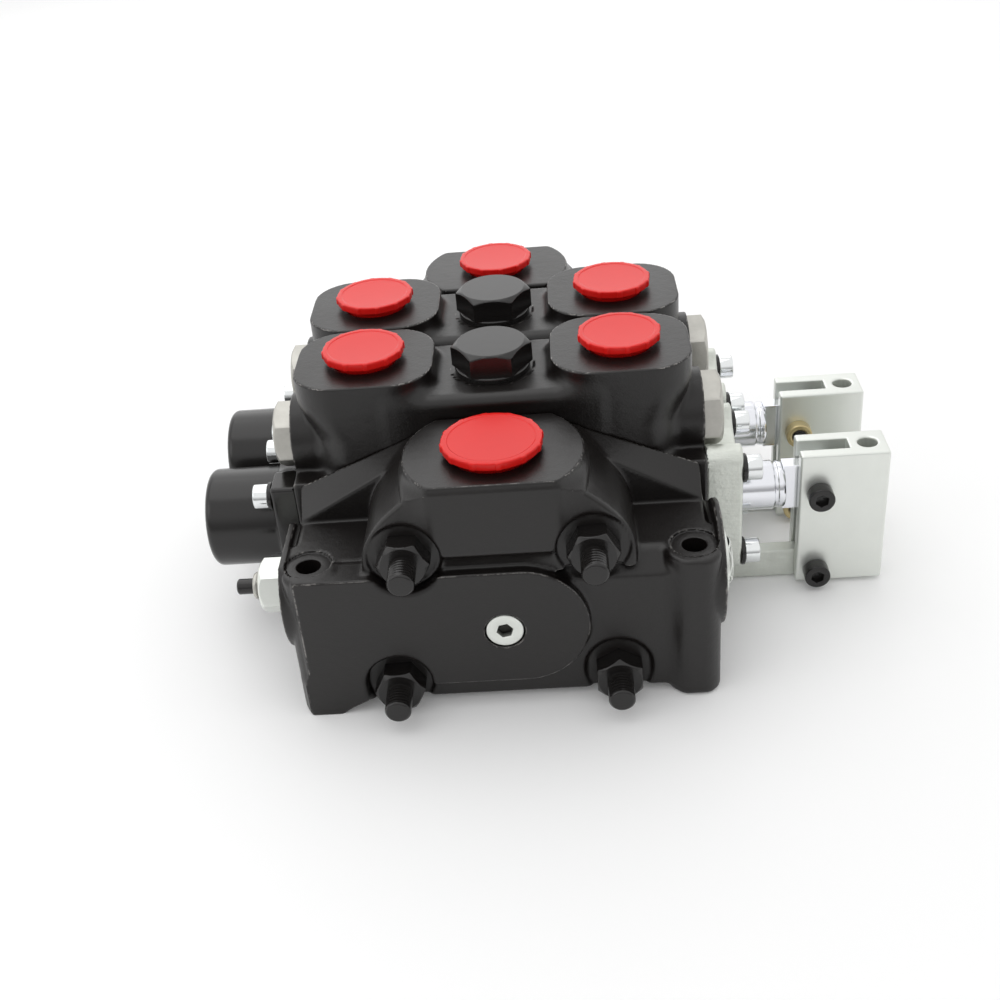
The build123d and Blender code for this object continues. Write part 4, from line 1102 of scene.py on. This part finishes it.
# %% Studio
scene = bpy.context.scene
scene.view_settings.view_transform = "Standard"
world = bpy.data.worlds.new("studio")
scene.world = world
world.use_nodes = True
tree = world.node_tree
background = tree.nodes["Background"]
background.inputs["Color"].default_value = (1, 1, 1, 1)
rays = tree.nodes.new("ShaderNodeLightPath")
where = tree.nodes.new("ShaderNodeTexCoord")
split = tree.nodes.new("ShaderNodeSeparateXYZ")
tree.links.new(where.outputs["Generated"], split.inputs[0])
front = maths(tree, "MULTIPLY_ADD", split.outputs["Y"], -2.0)
front.node.inputs[2].default_value = -0.3
front.node.use_clamp = True
height = maths(tree, "ABSOLUTE", split.outputs["Z"], 0.0)
level = maths(tree, "MULTIPLY_ADD", height, -3.0)
level.node.inputs[2].default_value = 1.5
level.node.use_clamp = True
shade = maths(tree, "MULTIPLY", front, level)
shade = maths(tree, "MULTIPLY", shade, -0.6)
shade = maths(tree, "ADD", shade, 1.0)
power = maths(tree, "MULTIPLY", rays.outputs["Is Glossy Ray"], 0.14)
power = maths(tree, "ADD", power, 0.86)
power = maths(tree, "MULTIPLY", power, shade)
power = maths(tree, "MAXIMUM", power, rays.outputs["Is Camera Ray"])
tree.links.new(power, background.inputs["Strength"])

floor_size = 3.0
floor = mesh_object(
    "floor",
    np.array([(-1, -1, 0), (1, -1, 0), (1, 1, 0), (-1, 1, 0)]) * floor_size / MM + np.array([0, 0, -0.05]),
    np.array([[0, 1, 2, 3]]),
)
floor_paper = bpy.data.materials.new("floor_paper")
floor_paper.use_nodes = True
paper = floor_paper.node_tree
paper_shader = paper.nodes["Principled BSDF"]
paper_shader.inputs["Base Color"].default_value = (0.93, 0.93, 0.93, 1)
paper_shader.inputs["Roughness"].default_value = 0.6
paper_shader.inputs["Emission Color"].default_value = (1, 1, 1, 1)
paper_rays = paper.nodes.new("ShaderNodeLightPath")
seen = maths(paper, "ADD", paper_rays.outputs["Is Camera Ray"], paper_rays.outputs["Is Glossy Ray"])
paper.links.new(maths(paper, "MULTIPLY", seen, 0.07), paper_shader.inputs["Emission Strength"])
floor.data.materials.append(floor_paper)


def lamp(name, place, aim, size, power):
    """A square area lamp at a place, turned towards a point."""
    light = bpy.data.lights.new(name, "AREA")
    light.size = size
    light.energy = power
    holder = bpy.data.objects.new(name, light)
    scene.collection.objects.link(holder)
    direction = Matrix.Translation(place).translation - Matrix.Translation(aim).translation
    holder.rotation_euler = direction.to_track_quat("Z", "Y").to_euler()
    holder.location = place


lamp("key_above", (-0.3, 0.15, 1.1), (0, 0, 0.05), 1.0, 2.6)
lamp("fill_left", (-1.0, -0.5, 0.7), (0, 0, 0.05), 0.7, 1.2)
lamp("rim_back", (-0.15, 1.1, 0.7), (0, 0, 0.05), 1.0, 1.8)

# %% [markdown]
# ## Camera
#
# The focal length in pixels, the three angles and the place come from a fit to
# measured points. The camera's axes are the columns of its matrix.

# %% Camera
focal_pixels = 1340.84
yaw, pitch, roll = np.radians((-3.48, 32.61, -5.29))
camera_place = np.array((26.21, -387.46 + front_y, 341.4)) * MM
ahead = np.array((np.sin(yaw) * np.cos(pitch), np.cos(yaw) * np.cos(pitch), -np.sin(pitch)))
level = np.array((np.cos(yaw), -np.sin(yaw), 0))
upright = np.cross(level, ahead)
right = np.cos(roll) * level + np.sin(roll) * upright
up = -np.sin(roll) * level + np.cos(roll) * upright
lens = bpy.data.cameras.new("photo_camera")
lens.sensor_width = 36.0
lens.lens = focal_pixels * 36.0 / 1000
lens.clip_start = 0.01
camera = bpy.data.objects.new("photo_camera", lens)
scene.collection.objects.link(camera)
turn = np.eye(4)
turn[:3, 0], turn[:3, 1], turn[:3, 2], turn[:3, 3] = right, up, -ahead, camera_place
camera.matrix_world = Matrix(turn.tolist())
scene.camera = camera
